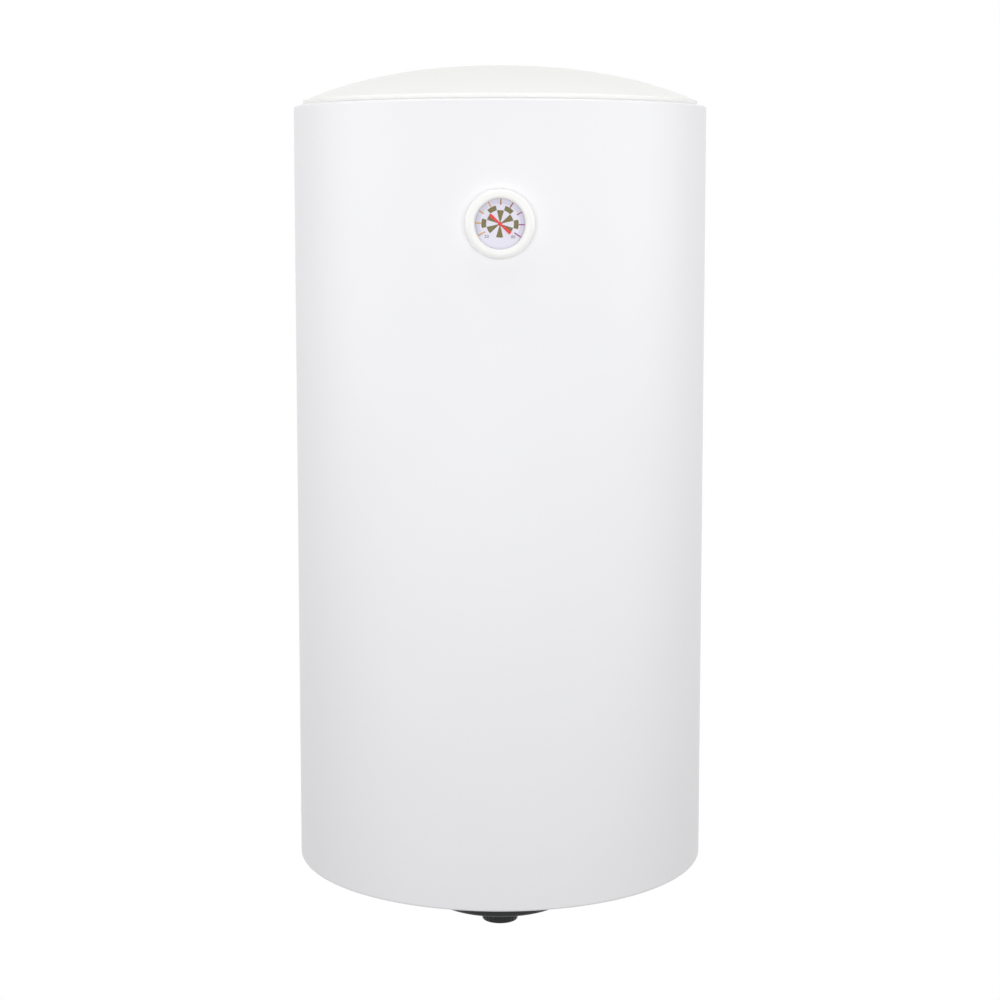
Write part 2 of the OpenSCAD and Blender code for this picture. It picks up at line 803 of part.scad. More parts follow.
module reset_spring() {
    turns = 5;
    steps = 14; // points on each turn
    wire = 0.3;
    coil = 1.7;
    low = reset_top + wire + run_fit;
    high = reset_bore_top - wire - run_fit;
    path = [for (i = [0:turns * steps]) let (t = 360 * i / steps)
        [coil * cos(t), coil * sin(t), low + (high - low) * i / turns / steps]];
    color("silver") hung() translate([reset_x, -knob_y, 0]) tube(path, wire, 6);
}

// ---- Terminals and wires ----

module earth_stud() {
    color("gold") hung() translate([earth_x, 0, 0]) rod(earth_stud_r, plate_z - earth_stud_l, plate_z);
}

module earth_nut() {
    high = earth_tag_z - seat_gap;
    color("gold") hung() translate([earth_x, 0, 0]) difference() {
        rod(hexagon_r(8), earth_nut_z, high, 6);
        rod(earth_stud_r + run_fit, earth_nut_z - cut, high + cut);
    }
}

// A foot under the first flange bolt and a strip down to the terminal block
module terminal_bracket() {
    width = 18;
    back_y = block_y + block_size[1] / 2;
    front_y = bolt_circle_r - bolt_d;
    foot_z = plate_z - washer_t;
    color("lightgray") hung() difference() {
        union() {
            translate([-width / 2, front_y, foot_z])
                cube([width, back_y + washer_t - front_y, washer_t]);
            translate([-width / 2, back_y, block_floor]) cube([width, washer_t, plate_z - block_floor]);
        }
        translate([0, bolt_circle_r, 0]) rod(bolt_d / 2 + bolt_fit, foot_z - cut, plate_z + cut);
    }
}

module terminal_block() {
    color("whitesmoke") hung() difference() {
        translate([-block_size[0] / 2, block_front, block_floor]) cube(block_size);
        for (x = pole_xs) {
            translate([x, block_front - cut, entry_z])
                rotate([-90, 0, 0]) cylinder(r = wire_r + 0.6, h = entry_depth + cut);
            translate([x, block_y, 0]) rod(terminal_screw_r + seat_gap, block_floor - cut, entry_z);
        }
    }
}

module terminal_screws() {
    low = block_floor + 0.5;
    slot = [6, 0.8, 1];
    color("gold") hung() for (x = pole_xs) translate([x, block_y, 0]) difference() {
        rod(terminal_screw_r, low, entry_z - seat_gap);
        translate([-slot[0] / 2, -slot[1] / 2, low - cut]) cube(slot + [0, 0, cut]);
    }
}

// A wire from the terminal block to the thermostat's rear face
module supply_wire(x, shade) {
    pull = [0, 14, 0]; // how far the wire runs straight at both ends
    start = [x, block_front + entry_depth / 2, entry_z];
    end = [x, body_y + body_size[1] / 2 + seat_gap, body_floor + 10];
    color(shade) hung() tube(curve([start, start - pull, end + pull, end]), wire_r);
}

module live_wire() { supply_wire(pole_xs[0], "saddlebrown"); }

module neutral_wire() { supply_wire(pole_xs[1], "blue"); }

// A thinner wire from the terminal block to a ring tag on the earth stud
module earth_wire() {
    tag_r = 5;
    tag_t = 1.9;
    start = [pole_xs[2], block_front + entry_depth / 2, entry_z];
    end = [earth_x, tag_r, earth_tag_z + tag_t / 2];
    color("limegreen") hung() union() {
        tube(curve([start, start - [0, 20, 0], end + [0, 22, -10], end]), 0.8 * wire_r);
        translate([earth_x, 0, 0])
            ring(tag_r, earth_stud_r + run_fit, earth_tag_z, earth_tag_z + tag_t);
    }
}

module lamp_wires() {
    pull = [0, 0, 8];
    color("gray") hung() for (s = [-1, 1]) {
        start = [s * 2, lamp_y, lamp_top + 2 * seat_gap];
        end = [s * 6, block_y - 4, block_floor - 2 * seat_gap];
        tube(curve([start, start + pull, end - pull, end]), wire_r / 2, 8, [1, 0, 0]);
    }
}

module indicator_lamp() {
    color("orange") hung() translate([0, lamp_y, 0]) rod(lamp_r - 1, hood_floor_top, lamp_top);
}

// A stepped lens: its flange lies under the cover's floor, and its face is part of a sphere
module lamp_lens() {
    bulge = 2;
    flange = lamp_r + 1;
    curve_r = (flange * flange + bulge * bulge) / (2 * bulge);
    color("red") hung() translate([0, lamp_y, 0]) rotate_extrude() polygon(concat(
        [[0, hood_floor_top]],
        arc(0, hood_floor - bulge + curve_r, curve_r, -90, asin(flange / curve_r) - 90),
        [[lamp_r, hood_floor], [lamp_r, hood_floor_top]]));
}

// ---- Terminal cover and cable entry ----

// A cup with a tapered side; its screws sit in deep wells
module terminal_cover() {
    side_z = hood_floor + hood_fillet;
    side_r = hood_floor_r - hood_fillet;
    well_r = boss_r - 0.5;
    color("#1c1c1e") hung() difference() {
        union() {
            rotate_extrude() polygon(concat(
                [[0, hood_floor]],
                arc(side_r, side_z, hood_fillet, -90, 0, 8),
                [[hood_r, base_recess], [hood_r - hood_wall, base_recess]],
                arc(side_r, side_z, hood_fillet - hood_wall, 0, -90, 8),
                [[0, hood_floor_top]]));
            for (s = [-1, 1]) intersection() {
                translate([s * screw_x, 0, 0]) rod(well_r + 1.9, hood_floor, base_recess);
                translate([0, 0, side_z]) cylinder(
                    r1 = hood_floor_r - 0.5, r2 = hood_r - 0.5, h = base_recess - side_z);
            }
        }
        for (s = [-1, 1]) translate([s * screw_x, 0, 0]) {
            rod(well_r, hood_floor - cut, screw_head_z);
            rod(screw_r + bolt_fit, hood_floor, base_recess + cut);
        }
        translate([0, -knob_y, 0]) rod(spindle_r + 2, hood_floor - cut, hood_floor_top + cut);
        translate([0, lamp_y, 0]) rod(lamp_r + seat_gap, hood_floor - cut, hood_floor_top + cut);
        translate([0, gland_y, 0]) rod(gland_r + seat_gap, hood_floor - cut, hood_floor_top + cut);
    }
}

module cover_screws() {
    low = screw_head_z - screw_head_h;
    slot = [4.4, 0.9, 1.4];
    color("silver") hung() for (s = [-1, 1]) translate([s * screw_x, 0, 0]) difference() {
        union() {
            rod(screw_r, screw_head_z - cut, screw_top - 1);
            rod(screw_head_r, low, screw_head_z);
        }
        for (a = [0, 90]) rotate([0, 0, a])
            translate([-slot[0] / 2, -slot[1] / 2, low - cut]) cube(slot + [0, 0, cut]);
    }
}

module gland_body() {
    high = hood_floor_top + 7;
    color("#2a2a2c") hung() translate([0, gland_y, 0]) difference() {
        union() {
            rod(gland_tip_r, gland_tip_z, gland_hex_z);
            rod(hexagon_r(gland_flats), gland_hex_z, hood_floor, 6);
            rod(gland_r, hood_floor, high);
        }
        rod(cable_r + 0.5, gland_tip_z - cut, high + cut);
        rod(seal_r + seat_gap, gland_tip_z - cut, seal_top);
    }
}

module gland_nut() {
    high = hood_floor_top + 4;
    color("#2a2a2c") hung() translate([0, gland_y, 0]) difference() {
        rod(hexagon_r(22), hood_floor_top, high, 6);
        rod(gland_r + run_fit, hood_floor_top - cut, high + cut);
    }
}

module gland_seal() {
    color("black") hung() translate([0, gland_y, 0])
        ring(seal_r, cable_r, seal_floor, seal_top - seat_gap);
}

module gland_cap() {
    low = gland_tip_z - 5;
    high = gland_hex_z - seat_gap;
    color("#2a2a2c") hung() translate([0, gland_y, 0]) difference() {
        union() {
            rod(hexagon_r(gland_flats), gland_tip_z, high, 6);
            translate([0, 0, low]) cylinder(r1 = 7, r2 = 9.4, h = gland_tip_z - low);
        }
        rod(gland_tip_r + run_fit, seal_floor - seat_gap, high + cut);
        rod(cable_r + 0.5, low - cut, high + cut);
    }
}

// ---- Thermometer ----

// A wide upright cylinder about the jacket's axis, to cut a dial piece to the jacket or the tank
module across(r) {
    rotate([-90, 0, 0]) translate([0, 0, -2 * bezel_r]) cylinder(r = r, h = 4 * bezel_r, $fn = fine);
}

module thermometer_bezel() {
    lens_seat_r = dial_plate_r + seat_gap;
    flange_seat_r = cup_flange_r + seat_gap;
    shoulder = 5.5; // rounding of the outer side
    ease = min(bezel_front - lens_front - 0.8, bezel_w - shoulder); // and of the inner one
    color("white") at_dial() difference() {
        rotate_extrude() polygon(concat(
            [[window_r, lens_front], [lens_seat_r, lens_front], [lens_seat_r, flange_front],
             [flange_seat_r, flange_front], [flange_seat_r, bezel_back], [bezel_r, bezel_back]],
            arc(bezel_r - shoulder, bezel_front - shoulder, shoulder, 0, 90, 8),
            arc(window_r + ease, bezel_front - ease, ease, 100, 180, 6)));
        across(jacket_r + seat_gap);
    }
}

module thermometer_lens() {
    color("lightcyan", 0.4) at_dial() rod(dial_plate_r, lens_back, lens_front - seat_gap);
}

module thermometer_dial() {
    color("lavender") at_dial()
        ring(dial_plate_r, arbor_r + run_fit, flange_front, flange_front + dial_t);
}

// Two arms; the short one ends in a notch
module thermometer_pointer() {
    hub_r = 2;
    long_arm = [[-0.8, -1], [-1.5, pointer_l - 4.3], [-1.4, pointer_l - 1], [0.6, pointer_l],
        [1.5, pointer_l - 1.6], [0.8, -1]];
    short_arm = [[-0.8, 1], [-1.6, 1.2 - pointer_l], [-0.4, -pointer_l], [0.2, 1 - pointer_l],
        [1.4, 0.4 - pointer_l], [1.7, 1.6 - pointer_l], [0.8, 1]];
    color("red") at_dial() rotate([0, 0, pointer_angle]) difference() {
        translate([0, 0, pointer_back]) {
            linear_extrude(pointer_t) polygon(long_arm);
            linear_extrude(pointer_t) polygon(short_arm);
            cylinder(r = hub_r, h = pointer_t);
        }
        rod(arbor_r + press_gap, pointer_back - cut, pointer_front + cut);
    }
}

module thermometer_spindle() {
    color("silver") at_dial() rod(arbor_r, cup_inside + 0.5, pointer_front + 0.3);
}

// A flat spiral strip from the spindle to the post in the cup
module bimetal_coil() {
    inner = arbor_r + coil_strip + seat_gap;
    steps = 24; // points on each turn
    last = coil_turns * steps;
    spiral = [for (i = [0:last]) [inner + (coil_r - inner) * i / last, 360 * i / steps]];
    color("darkgoldenrod") at_dial() translate([0, 0, coil_back]) linear_extrude(coil_h) polygon(concat(
        [for (p = spiral) (p[0] + coil_strip) * [cos(p[1]), sin(p[1])]],
        [for (p = reversed(spiral)) (p[0] - coil_strip) * [cos(p[1]), sin(p[1])]]));
}

// A flanged cup with a bearing for the spindle and a post for the coil
module thermometer_cup() {
    bearing_r = 3;
    post_r = 1.6;
    root = cup_floor + cup_wall / 2;
    color("white") at_dial() difference() {
        union() {
            ring(cup_r, cup_r - cup_wall, cup_floor, flange_front);
            ring(cup_flange_r, cup_r - cup_wall, flange_front - cup_flange_t, flange_front);
            rod(cup_r, cup_floor, cup_inside);
            rod(bearing_r, root, bearing_top);
            translate([coil_r + coil_strip + post_r + 0.4, 0, 0]) rod(post_r, root, coil_back + coil_h, 24);
        }
        rod(arbor_r + run_fit, cup_inside, bearing_top + cut);
    }
}

// A split ring that holds the cup from behind
module thermometer_clip() {
    gap_w = 8;
    color("silver") at_dial() difference() {
        ring(clip_r, cup_r + seat_gap, bezel_back, bezel_back + clip_t);
        translate([-gap_w / 2, -clip_r - cut, bezel_back - cut])
            cube([gap_w, clip_r - cup_r + 2 * cut, clip_t + 2 * cut]);
    }
}

// A metal pad between the tank and the cup
module thermal_contact() {
    color("silver") at_dial() difference() {
        rod(contact_r, tank_r - 2, cup_floor);
        across(tank_r + seat_gap);
    }
}

jacket();
top_cover();
bottom_cover();
foam();
upper_bracket();
lower_bracket();
tank_shell();
tank_top_end();
tank_bottom_end();
flange_ring();
cold_nipple();
hot_nipple();
cold_diffuser();
hot_outlet_tube();
cold_grommet();
hot_grommet();
flange_gasket();
flange_plate();
flange_washers();
flange_bolts();
heating_element();
element_insulators();
element_tabs();
anode_rod();
anode_stud();
anode_nut();
thermostat_pocket();
thermostat_rod();
thermostat_body();
thermostat_spindle();
thermostat_knob();
reset_button();
reset_spring();
earth_stud();
earth_nut();
terminal_bracket();
terminal_block();
terminal_screws();
live_wire();
neutral_wire();
earth_wire();
lamp_wires();
indicator_lamp();
lamp_lens();
terminal_cover();
cover_screws();
gland_body();
gland_nut();
gland_seal();
gland_cap();
thermometer_bezel();
thermometer_lens();
thermometer_dial();
thermometer_pointer();
thermometer_spindle();
bimetal_coil();
thermometer_cup();
thermometer_clip();
thermal_contact();
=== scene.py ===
"""Looks of a wall-hung electric storage water heater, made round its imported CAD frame.

Sizes are in millimetres until a mesh is made. The wall is the plane y = 0, the heater faces -Y,
and heights are the frame's own, from the middle of the upper bracket's slots.
"""

import json
import math

import bmesh
import bpy
import numpy as np
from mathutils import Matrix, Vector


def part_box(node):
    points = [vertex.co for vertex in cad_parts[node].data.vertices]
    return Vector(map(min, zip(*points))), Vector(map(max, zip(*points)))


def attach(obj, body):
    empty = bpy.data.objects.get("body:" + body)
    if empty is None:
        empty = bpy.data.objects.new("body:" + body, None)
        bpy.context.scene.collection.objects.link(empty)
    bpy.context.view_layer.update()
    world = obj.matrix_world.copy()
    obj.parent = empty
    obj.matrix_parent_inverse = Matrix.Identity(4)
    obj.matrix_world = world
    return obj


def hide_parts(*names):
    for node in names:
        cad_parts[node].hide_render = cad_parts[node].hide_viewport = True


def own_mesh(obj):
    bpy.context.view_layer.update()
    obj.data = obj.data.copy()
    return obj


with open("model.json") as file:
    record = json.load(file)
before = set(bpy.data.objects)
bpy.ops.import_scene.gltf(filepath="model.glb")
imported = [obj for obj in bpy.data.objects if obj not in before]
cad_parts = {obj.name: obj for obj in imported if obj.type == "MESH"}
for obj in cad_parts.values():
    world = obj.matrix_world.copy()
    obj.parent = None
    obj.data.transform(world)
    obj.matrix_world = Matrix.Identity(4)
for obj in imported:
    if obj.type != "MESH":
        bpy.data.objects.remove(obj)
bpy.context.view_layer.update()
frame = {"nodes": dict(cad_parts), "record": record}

TAU = 2 * np.pi


# ---- Sizes ----

def extent(node):
    """Lowest and highest corners of a CAD node, in mm."""
    low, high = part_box(node)
    return np.array(low) * 1000, np.array(high) * 1000


# The jacket: sheet steel, folded in at both ends to a flat rim round each mouth
jacket_low, jacket_high = extent("jacket")
jacket_r = jacket_high[0]
axis_y = jacket_low[1] + jacket_r
base_z, shoulder_z = jacket_low[2], jacket_high[2]
fold_r = 2.6
sheet_t = 0.7
rim_w = 16
mouth_r = jacket_r - rim_w
cup_half = 24.5  # the opening for the dial's cup, each way from its middle
arm_gap = 1  # the openings for the bracket arms, past an arm's edges

# The moulded covers, whose spigots plug into the mouths
cover_wall = 2.5
spigot_r = mouth_r - 0.4
spigot_h = 12
lid_r = extent("top_cover")[1][0]
lip_z = shoulder_z + 0.3
lip_top = shoulder_z + 5.4
dome_rise = 38.7

# The thermometer, measured outwards from the jacket's axis
bezel_low, bezel_high = extent("thermometer_bezel")
bezel_r = (bezel_high[0] - bezel_low[0]) / 2
dial_z = (bezel_high[2] + bezel_low[2]) / 2
bezel_front = axis_y - bezel_low[1]
window_r = bezel_r - 10
window_back, window_front = jacket_r + 5.5, jacket_r + 6.9
dial_back, dial_front = jacket_r + 3, jacket_r + 3.6
dial_r = 27  # of the plate and of the window, whose edges the bezel hides
pointer_back, pointer_front = dial_front + 0.6, dial_front + 1.1
arbor_low, arbor_high = extent("thermometer_spindle")
arbor_r = (arbor_high[0] - arbor_low[0]) / 2

# The terminal cover and what sits on it
hood_low, hood_high = extent("terminal_cover")
hood_r = hood_high[0]
hood_z = hood_low[2]
base_face = hood_high[2]
screw_x = hood_r - 14
boss_top = base_face + 12.5
lamp_y, gland_y = axis_y + 17, axis_y + 50
gland_flats = 19
knob_low, knob_high = extent("thermostat_knob")
knob_r = (knob_high[0] - knob_low[0]) / 2
knob_y = (knob_high[1] + knob_low[1]) / 2

# The wall brackets
bracket_names = ("upper_bracket", "lower_bracket")
bracket_low, bracket_high = extent("upper_bracket")
bracket_half = bracket_high[0]
bracket_h = bracket_high[2] - bracket_low[2]
bracket_zs = [(low[2] + high[2]) / 2 for low, high in map(extent, bracket_names)]
bracket_t = 3
slot_x = 90

# The water pipes, by the side that they are on
pipe_names = {1: "cold_nipple", -1: "hot_nipple"}
pipe_low, pipe_high = extent("cold_nipple")
pipe_x = (pipe_high[0] + pipe_low[0]) / 2
pipe_y = (pipe_high[1] + pipe_low[1]) / 2


# ---- Shapes ----

def unit(v):
    """Directions of length 1."""
    return v / np.maximum(np.linalg.norm(v, axis=-1, keepdims=True), 1e-12)


def softened(corners, steps=6):
    """A closed outline whose corners (x, y, radius) are rounded. Each arc touches both sides at
    radius / tan(half the corner's angle) and turns evenly from one to the other."""
    corners = np.asarray(corners, float)
    p, radius = corners[:, :2], corners[:, 2]
    back, ahead = unit(np.roll(p, 1, 0) - p), unit(np.roll(p, -1, 0) - p)
    half = np.arccos(np.clip((back * ahead).sum(1), -1, 1)) / 2
    half = np.clip(half, 1e-3, np.pi / 2 - 1e-6)
    touch = (radius / np.tan(half))[:, None]
    centre = p + unit(back + ahead) * (radius / np.sin(half))[:, None]
    start, end = p + back * touch - centre, p + ahead * touch - centre
    turn = (np.pi - 2 * half)[:, None, None]
    t = np.linspace(0, 1, steps + 1)[None, :, None]
    arcs = centre[:, None] + (
        np.sin((1 - t) * turn) * start[:, None] + np.sin(t * turn) * end[:, None]) / np.sin(turn)
    sharp = (radius == 0)[:, None, None]
    return np.where(sharp, p[:, None], arcs).reshape(-1, 2)


def turned(profile, radius=None, steps=128):
    """A profile of (radius, height) carried round an axis: (r cos a, r sin a, height).
    radius(r, height, angle) may change the radius on the way, as flutes and flats do."""
    profile = np.asarray(profile, float)
    angle = np.arange(steps)[:, None] * TAU / steps
    r, height = profile[None, :, 0], profile[None, :, 1] + 0 * angle
    r = radius(r, height, angle) if radius else r + 0 * angle
    return np.stack([r * np.cos(angle), r * np.sin(angle), height], -1)


def faces_of(rows, columns, round_rows=True, round_columns=True, kept=None):
    """Four-sided faces between neighbours on a grid, as numbers of its points."""
    i = np.arange(rows if round_rows else rows - 1)[:, None]
    j = np.arange(columns if round_columns else columns - 1)[None, :]
    below, beside = (i + 1) % rows, (j + 1) % columns
    quads = np.stack([i * columns + j, below * columns + j,
                      below * columns + beside, i * columns + beside], -1)
    return quads[kept] if kept is not None else quads.reshape(-1, 4)


def ring_solid(points):
    """A closed section carried round until it meets itself."""
    return points.reshape(-1, 3), faces_of(*points.shape[:2]).tolist()


def axis_solid(points):
    """A section that starts and ends on the axis, carried round it."""
    return points.reshape(-1, 3), faces_of(*points.shape[:2], round_columns=False).tolist()


def bar_solid(points):
    """Closed sections one after another, with a face over each end."""
    rows, columns = points.shape[:2]
    faces = faces_of(rows, columns, round_rows=False).tolist()
    last = (rows - 1) * columns
    ends = [list(range(columns)), list(range(last + columns - 1, last - 1, -1))]
    return points.reshape(-1, 3), faces + ends


def raised(outline, levels):
    """An outline in x and y, repeated at each height in levels."""
    levels = np.asarray(levels, float)
    outline = np.broadcast_to(np.asarray(outline, float), (len(levels), len(outline), 2))
    heights = np.broadcast_to(levels[:, None, None], (*outline.shape[:2], 1))
    return np.concatenate([outline, heights], -1)


def upright(points, x=0.0, y=None):
    """Points about an upright axis at x and y, or at the jacket's own axis."""
    return points + np.array([x, axis_y if y is None else y, 0.0])


def on_dial(points):
    """Points about the thermometer's axis: x to the right, y up, and z out of the jacket."""
    return np.stack([points[..., 0], axis_y - points[..., 2], dial_z + points[..., 1]], -1)


# ---- Making pieces ----

def in_scene(name, data):
    """A new object, linked to the scene."""
    thing = bpy.data.objects.new(name, data)
    bpy.context.scene.collection.objects.link(thing)
    return thing


def evaluated_mesh(thing):
    """A new mesh of a thing as its modifiers leave it."""
    return bpy.data.meshes.new_from_object(
        thing.evaluated_get(bpy.context.evaluated_depsgraph_get()))


def mesh_of(name, solids):
    """One mesh from closed shapes, with its doubled points merged and its faces outwards."""
    points, faces, start = [], [], 0
    for these, those in solids:
        points.append(these)
        faces += [[start + k for k in face] for face in those]
        start += len(these)
    mesh = bpy.data.meshes.new(name)
    mesh.from_pydata((np.concatenate(points) / 1000).tolist(), [], faces)
    work = bmesh.new()
    work.from_mesh(mesh)
    bmesh.ops.remove_doubles(work, verts=work.verts, dist=1e-6)
    bmesh.ops.recalc_face_normals(work, faces=work.faces)
    work.to_mesh(mesh)
    work.free()
    return mesh


def loose(name, *solids):
    """An object that isn't a piece yet, or a shape that only cuts."""
    return in_scene(name, mesh_of(name, solids))


def rod(r, low, high, x=0.0, y=None, steps=64):
    """An upright cylinder that cuts, or is joined to, another thing."""
    section = [(0, low), (r, low), (r, high), (0, high)]
    return loose("rod", axis_solid(upright(turned(section, steps=steps), x, y)))


def carved(thing, *tools, how="DIFFERENCE"):
    """Cuts tools out of a thing, or joins or crosses them with it, and takes them away. Any
    modifier that the thing already has is made part of its mesh too."""
    for tool in tools:
        cut = thing.modifiers.new(tool.name, "BOOLEAN")
        cut.object, cut.solver, cut.operation = tool, "EXACT", how
    mesh = evaluated_mesh(thing)
    thing.modifiers.clear()
    thing.data = mesh
    for tool in tools:
        bpy.data.objects.remove(tool)
    return thing


def piece(thing, body, slot, finish, nodes=(), crease=35, bevel=0.0):
    """Finishes a thing: its material, a small bevel, smooth shading in which wide flat faces stay
    flat beside their roundings, and its body. The slot it is given is not used."""
    mesh = thing.data
    mesh.materials.clear()
    mesh.materials.append(finish)
    mesh.shade_smooth()
    mesh.set_sharp_from_angle(angle=math.radians(crease))
    if bevel:
        edge = thing.modifiers.new("edges", "BEVEL")
        edge.width, edge.segments = bevel / 1000, 2
        edge.limit_method, edge.angle_limit = "ANGLE", math.radians(crease)
        edge.harden_normals = True
    flat = thing.modifiers.new("flat_faces", "WEIGHTED_NORMAL")
    flat.keep_sharp = True
    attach(thing, body)
    if nodes:
        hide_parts(*nodes)
    return thing


# ---- Materials ----

def colour(code):
    """An sRGB hex colour as linear light."""
    c = np.array([int(code[i:i + 2], 16) for i in (1, 3, 5)]) / 255
    return (*np.where(c <= 0.04045, c / 12.92, ((c + 0.055) / 1.055) ** 2.4).tolist(), 1.0)


def add(tree, kind, links=None, **settings):
    """Adds a node, with its settings and with a value or another node's output on each input."""
    node = tree.nodes.new("ShaderNode" + kind)
    for key, value in settings.items():
        setattr(node, key, value)
    for key, source in (links or {}).items():
        if isinstance(source, bpy.types.NodeSocket):
            tree.links.new(source, node.inputs[key])
        else:
            node.inputs[key].default_value = source
    return node


def started(name, **sockets):
    """A new material: its tree, its Principled shader and its place on the object."""
    finish = bpy.data.materials.new(name)
    finish.use_nodes = True
    tree = finish.node_tree
    shader = tree.nodes["Principled BSDF"]
    for key, value in sockets.items():
        shader.inputs[key.replace("_", " ")].default_value = value
    return finish, tree, shader, add(tree, "TexCoord").outputs["Object"]


def roughened(tree, shader, pattern, roughness):
    """Runs a pattern from 0 to 1 into the roughness, from its low to its high end."""
    low, high = roughness
    rough = add(tree, "MapRange", {"Value": pattern, "To Min": low, "To Max": high})
    tree.links.new(rough.outputs[0], shader.inputs["Roughness"])


def toned(tree, shader, pattern, low, high, roughness):
    """Runs a pattern from 0 to 1 into the colour, from low to high, and into the roughness."""
    mix = add(tree, "Mix", {0: pattern, 6: colour(low), 7: colour(high)}, data_type="RGBA")
    tree.links.new(mix.outputs[2], shader.inputs["Base Color"])
    roughened(tree, shader, pattern, roughness)


def bumped(tree, shader, height, depth):
    """Raises a pattern by depth mm."""
    bump = add(tree, "Bump", {"Height": height, "Distance": depth / 1000, "Strength": 1.0})
    tree.links.new(bump.outputs[0], shader.inputs["Normal"])


def painted(name, low, high, roughness, peel, depth, ior=1.5):
    """Sprayed powder or enamel, baked on: its flow leaves soft waves, peel mm apart."""
    finish, tree, shader, place = started(name, IOR=ior)
    cloud = add(tree, "TexNoise", {"Vector": place, "Scale": 1000 / 160, "Detail": 2.0})
    toned(tree, shader, cloud.outputs[0], low, high, roughness)
    waves = add(tree, "TexNoise", {"Vector": place, "Scale": 1000 / peel, "Detail": 1.0})
    bumped(tree, shader, waves.outputs[0], depth)
    return finish


def moulded(name, low, high, roughness, grain, depth, ior=1.53):
    """Plastic from a spark-eroded mould: a fine grain, and tone that follows the flow."""
    finish, tree, shader, place = started(name, IOR=ior)
    flow = add(tree, "TexNoise", {"Vector": place, "Scale": 1000 / 45, "Detail": 3.0})
    toned(tree, shader, flow.outputs[0], low, high, roughness)
    spark = add(tree, "TexVoronoi", {"Vector": place, "Scale": 1000 / grain})
    bumped(tree, shader, spark.outputs["Distance"], depth)
    return finish


def metal(name, low, high, roughness, scratch=(0.4, 0.4, 6.0), depth=0.01):
    """Bare or plated metal: its drawing or turning marks are scratch mm long along X, Y and Z."""
    finish, tree, shader, place = started(name, Metallic=1.0)
    lay = add(tree, "Mapping", {"Vector": place, "Scale": tuple(1000 / s for s in scratch)})
    marks = add(tree, "TexNoise", {"Vector": lay.outputs[0], "Scale": 1.0, "Detail": 3.0})
    film = add(tree, "TexNoise", {"Vector": place, "Scale": 1000 / 30, "Detail": 4.0})
    both = add(tree, "Math", {0: marks.outputs[0], 1: film.outputs[0]}, operation="MULTIPLY")
    tone = add(tree, "MapRange", {"Value": both.outputs[0], "From Min": 0.12, "From Max": 0.4})
    toned(tree, shader, tone.outputs[0], low, high, roughness)
    bumped(tree, shader, marks.outputs[0], depth)
    return finish


def galvanised():
    """Hot-dip galvanised steel. The zinc freezes in flat crystals, 4 mm wide, and each one
    mirrors light its own way, so the sheet looks softly patched in greys."""
    finish, tree, shader, place = started("galvanised_steel_sheet", Metallic=1.0)
    edge = add(tree, "TexNoise", {"Vector": place, "Scale": 1000 / 3, "Detail": 3.0})
    bent = add(tree, "Mix", {0: 0.0025, 4: place, 5: edge.outputs["Color"]}, data_type="VECTOR")
    crystals = add(tree, "TexVoronoi", {"Vector": bent.outputs[1], "Scale": 1000 / 4})
    spangle = add(tree, "SeparateColor", {0: crystals.outputs["Color"]})
    toned(tree, shader, spangle.outputs[0], "#ABAEB0", "#C2C5C6", (0.50, 0.38))
    bumped(tree, shader, spangle.outputs[1], 0.004)
    return finish


def foamed():
    """Polyurethane foam, foamed in place. Its skin has open cells 1 mm wide, drawn at 3 mm so that
    they show, each painted darker towards its sunken middle as painted shade in its hollow."""
    finish, tree, shader, place = started("polyurethane_foam_cells", IOR=1.45)
    cells = add(tree, "TexVoronoi", {"Vector": place, "Scale": 1000 / 3})
    # Darker where the bump sinks each cell: painted shade in the cells' hollows
    toned(tree, shader, cells.outputs["Distance"], "#C9A95E", "#EAD9A0", (0.95, 0.85))
    bumped(tree, shader, cells.outputs["Distance"], 0.5)
    return finish


def clear(name, tint, roughness, share, mirror=0.5):
    """See-through plastic or glass. Lamps shine through it, so what lies behind is lit. mirror
    is 0.5 for a bare surface, and less for one with a coat against glare."""
    finish, tree, shader, place = started(
        name, Base_Color=colour(tint), IOR=1.49, Transmission_Weight=share, Specular_IOR_Level=mirror)
    haze = add(tree, "TexNoise", {"Vector": place, "Scale": 1000 / 6, "Detail": 4.0})
    roughened(tree, shader, haze.outputs[0], roughness)
    path = add(tree, "LightPath")
    lamp = add(tree, "Math", {0: path.outputs["Is Shadow Ray"], 1: path.outputs["Is Diffuse Ray"]},
               operation="MAXIMUM")
    through = add(tree, "BsdfTransparent", {"Color": colour(tint)})
    both = add(tree, "MixShader", {0: lamp.outputs[0], 1: shader.outputs[0], 2: through.outputs[0]})
    tree.links.new(both.outputs[0], tree.nodes["Material Output"].inputs["Surface"])
    return finish


def inked():
    """Screen-printed ink on the dial. Each mark has its own ink, in the attribute "ink"; the
    screen's weave leaves it faintly mottled, 0.4 mm apart."""
    finish, tree, shader, place = started("screen_printed_ink", IOR=1.3)
    ink = add(tree, "Attribute", attribute_name="ink", attribute_type="GEOMETRY")
    weave = add(tree, "TexNoise", {"Vector": place, "Scale": 1000 / 0.4, "Detail": 2.0})
    shade = add(tree, "MapRange", {"Value": weave.outputs[0], "To Min": 0.88, "To Max": 1.08})
    mottled = add(tree, "VectorMath", {0: ink.outputs["Color"], "Scale": shade.outputs[0]},
                  operation="SCALE")
    tree.links.new(mottled.outputs[0], shader.inputs["Base Color"])
    roughened(tree, shader, weave.outputs[0], (0.4, 0.55))
    return finish


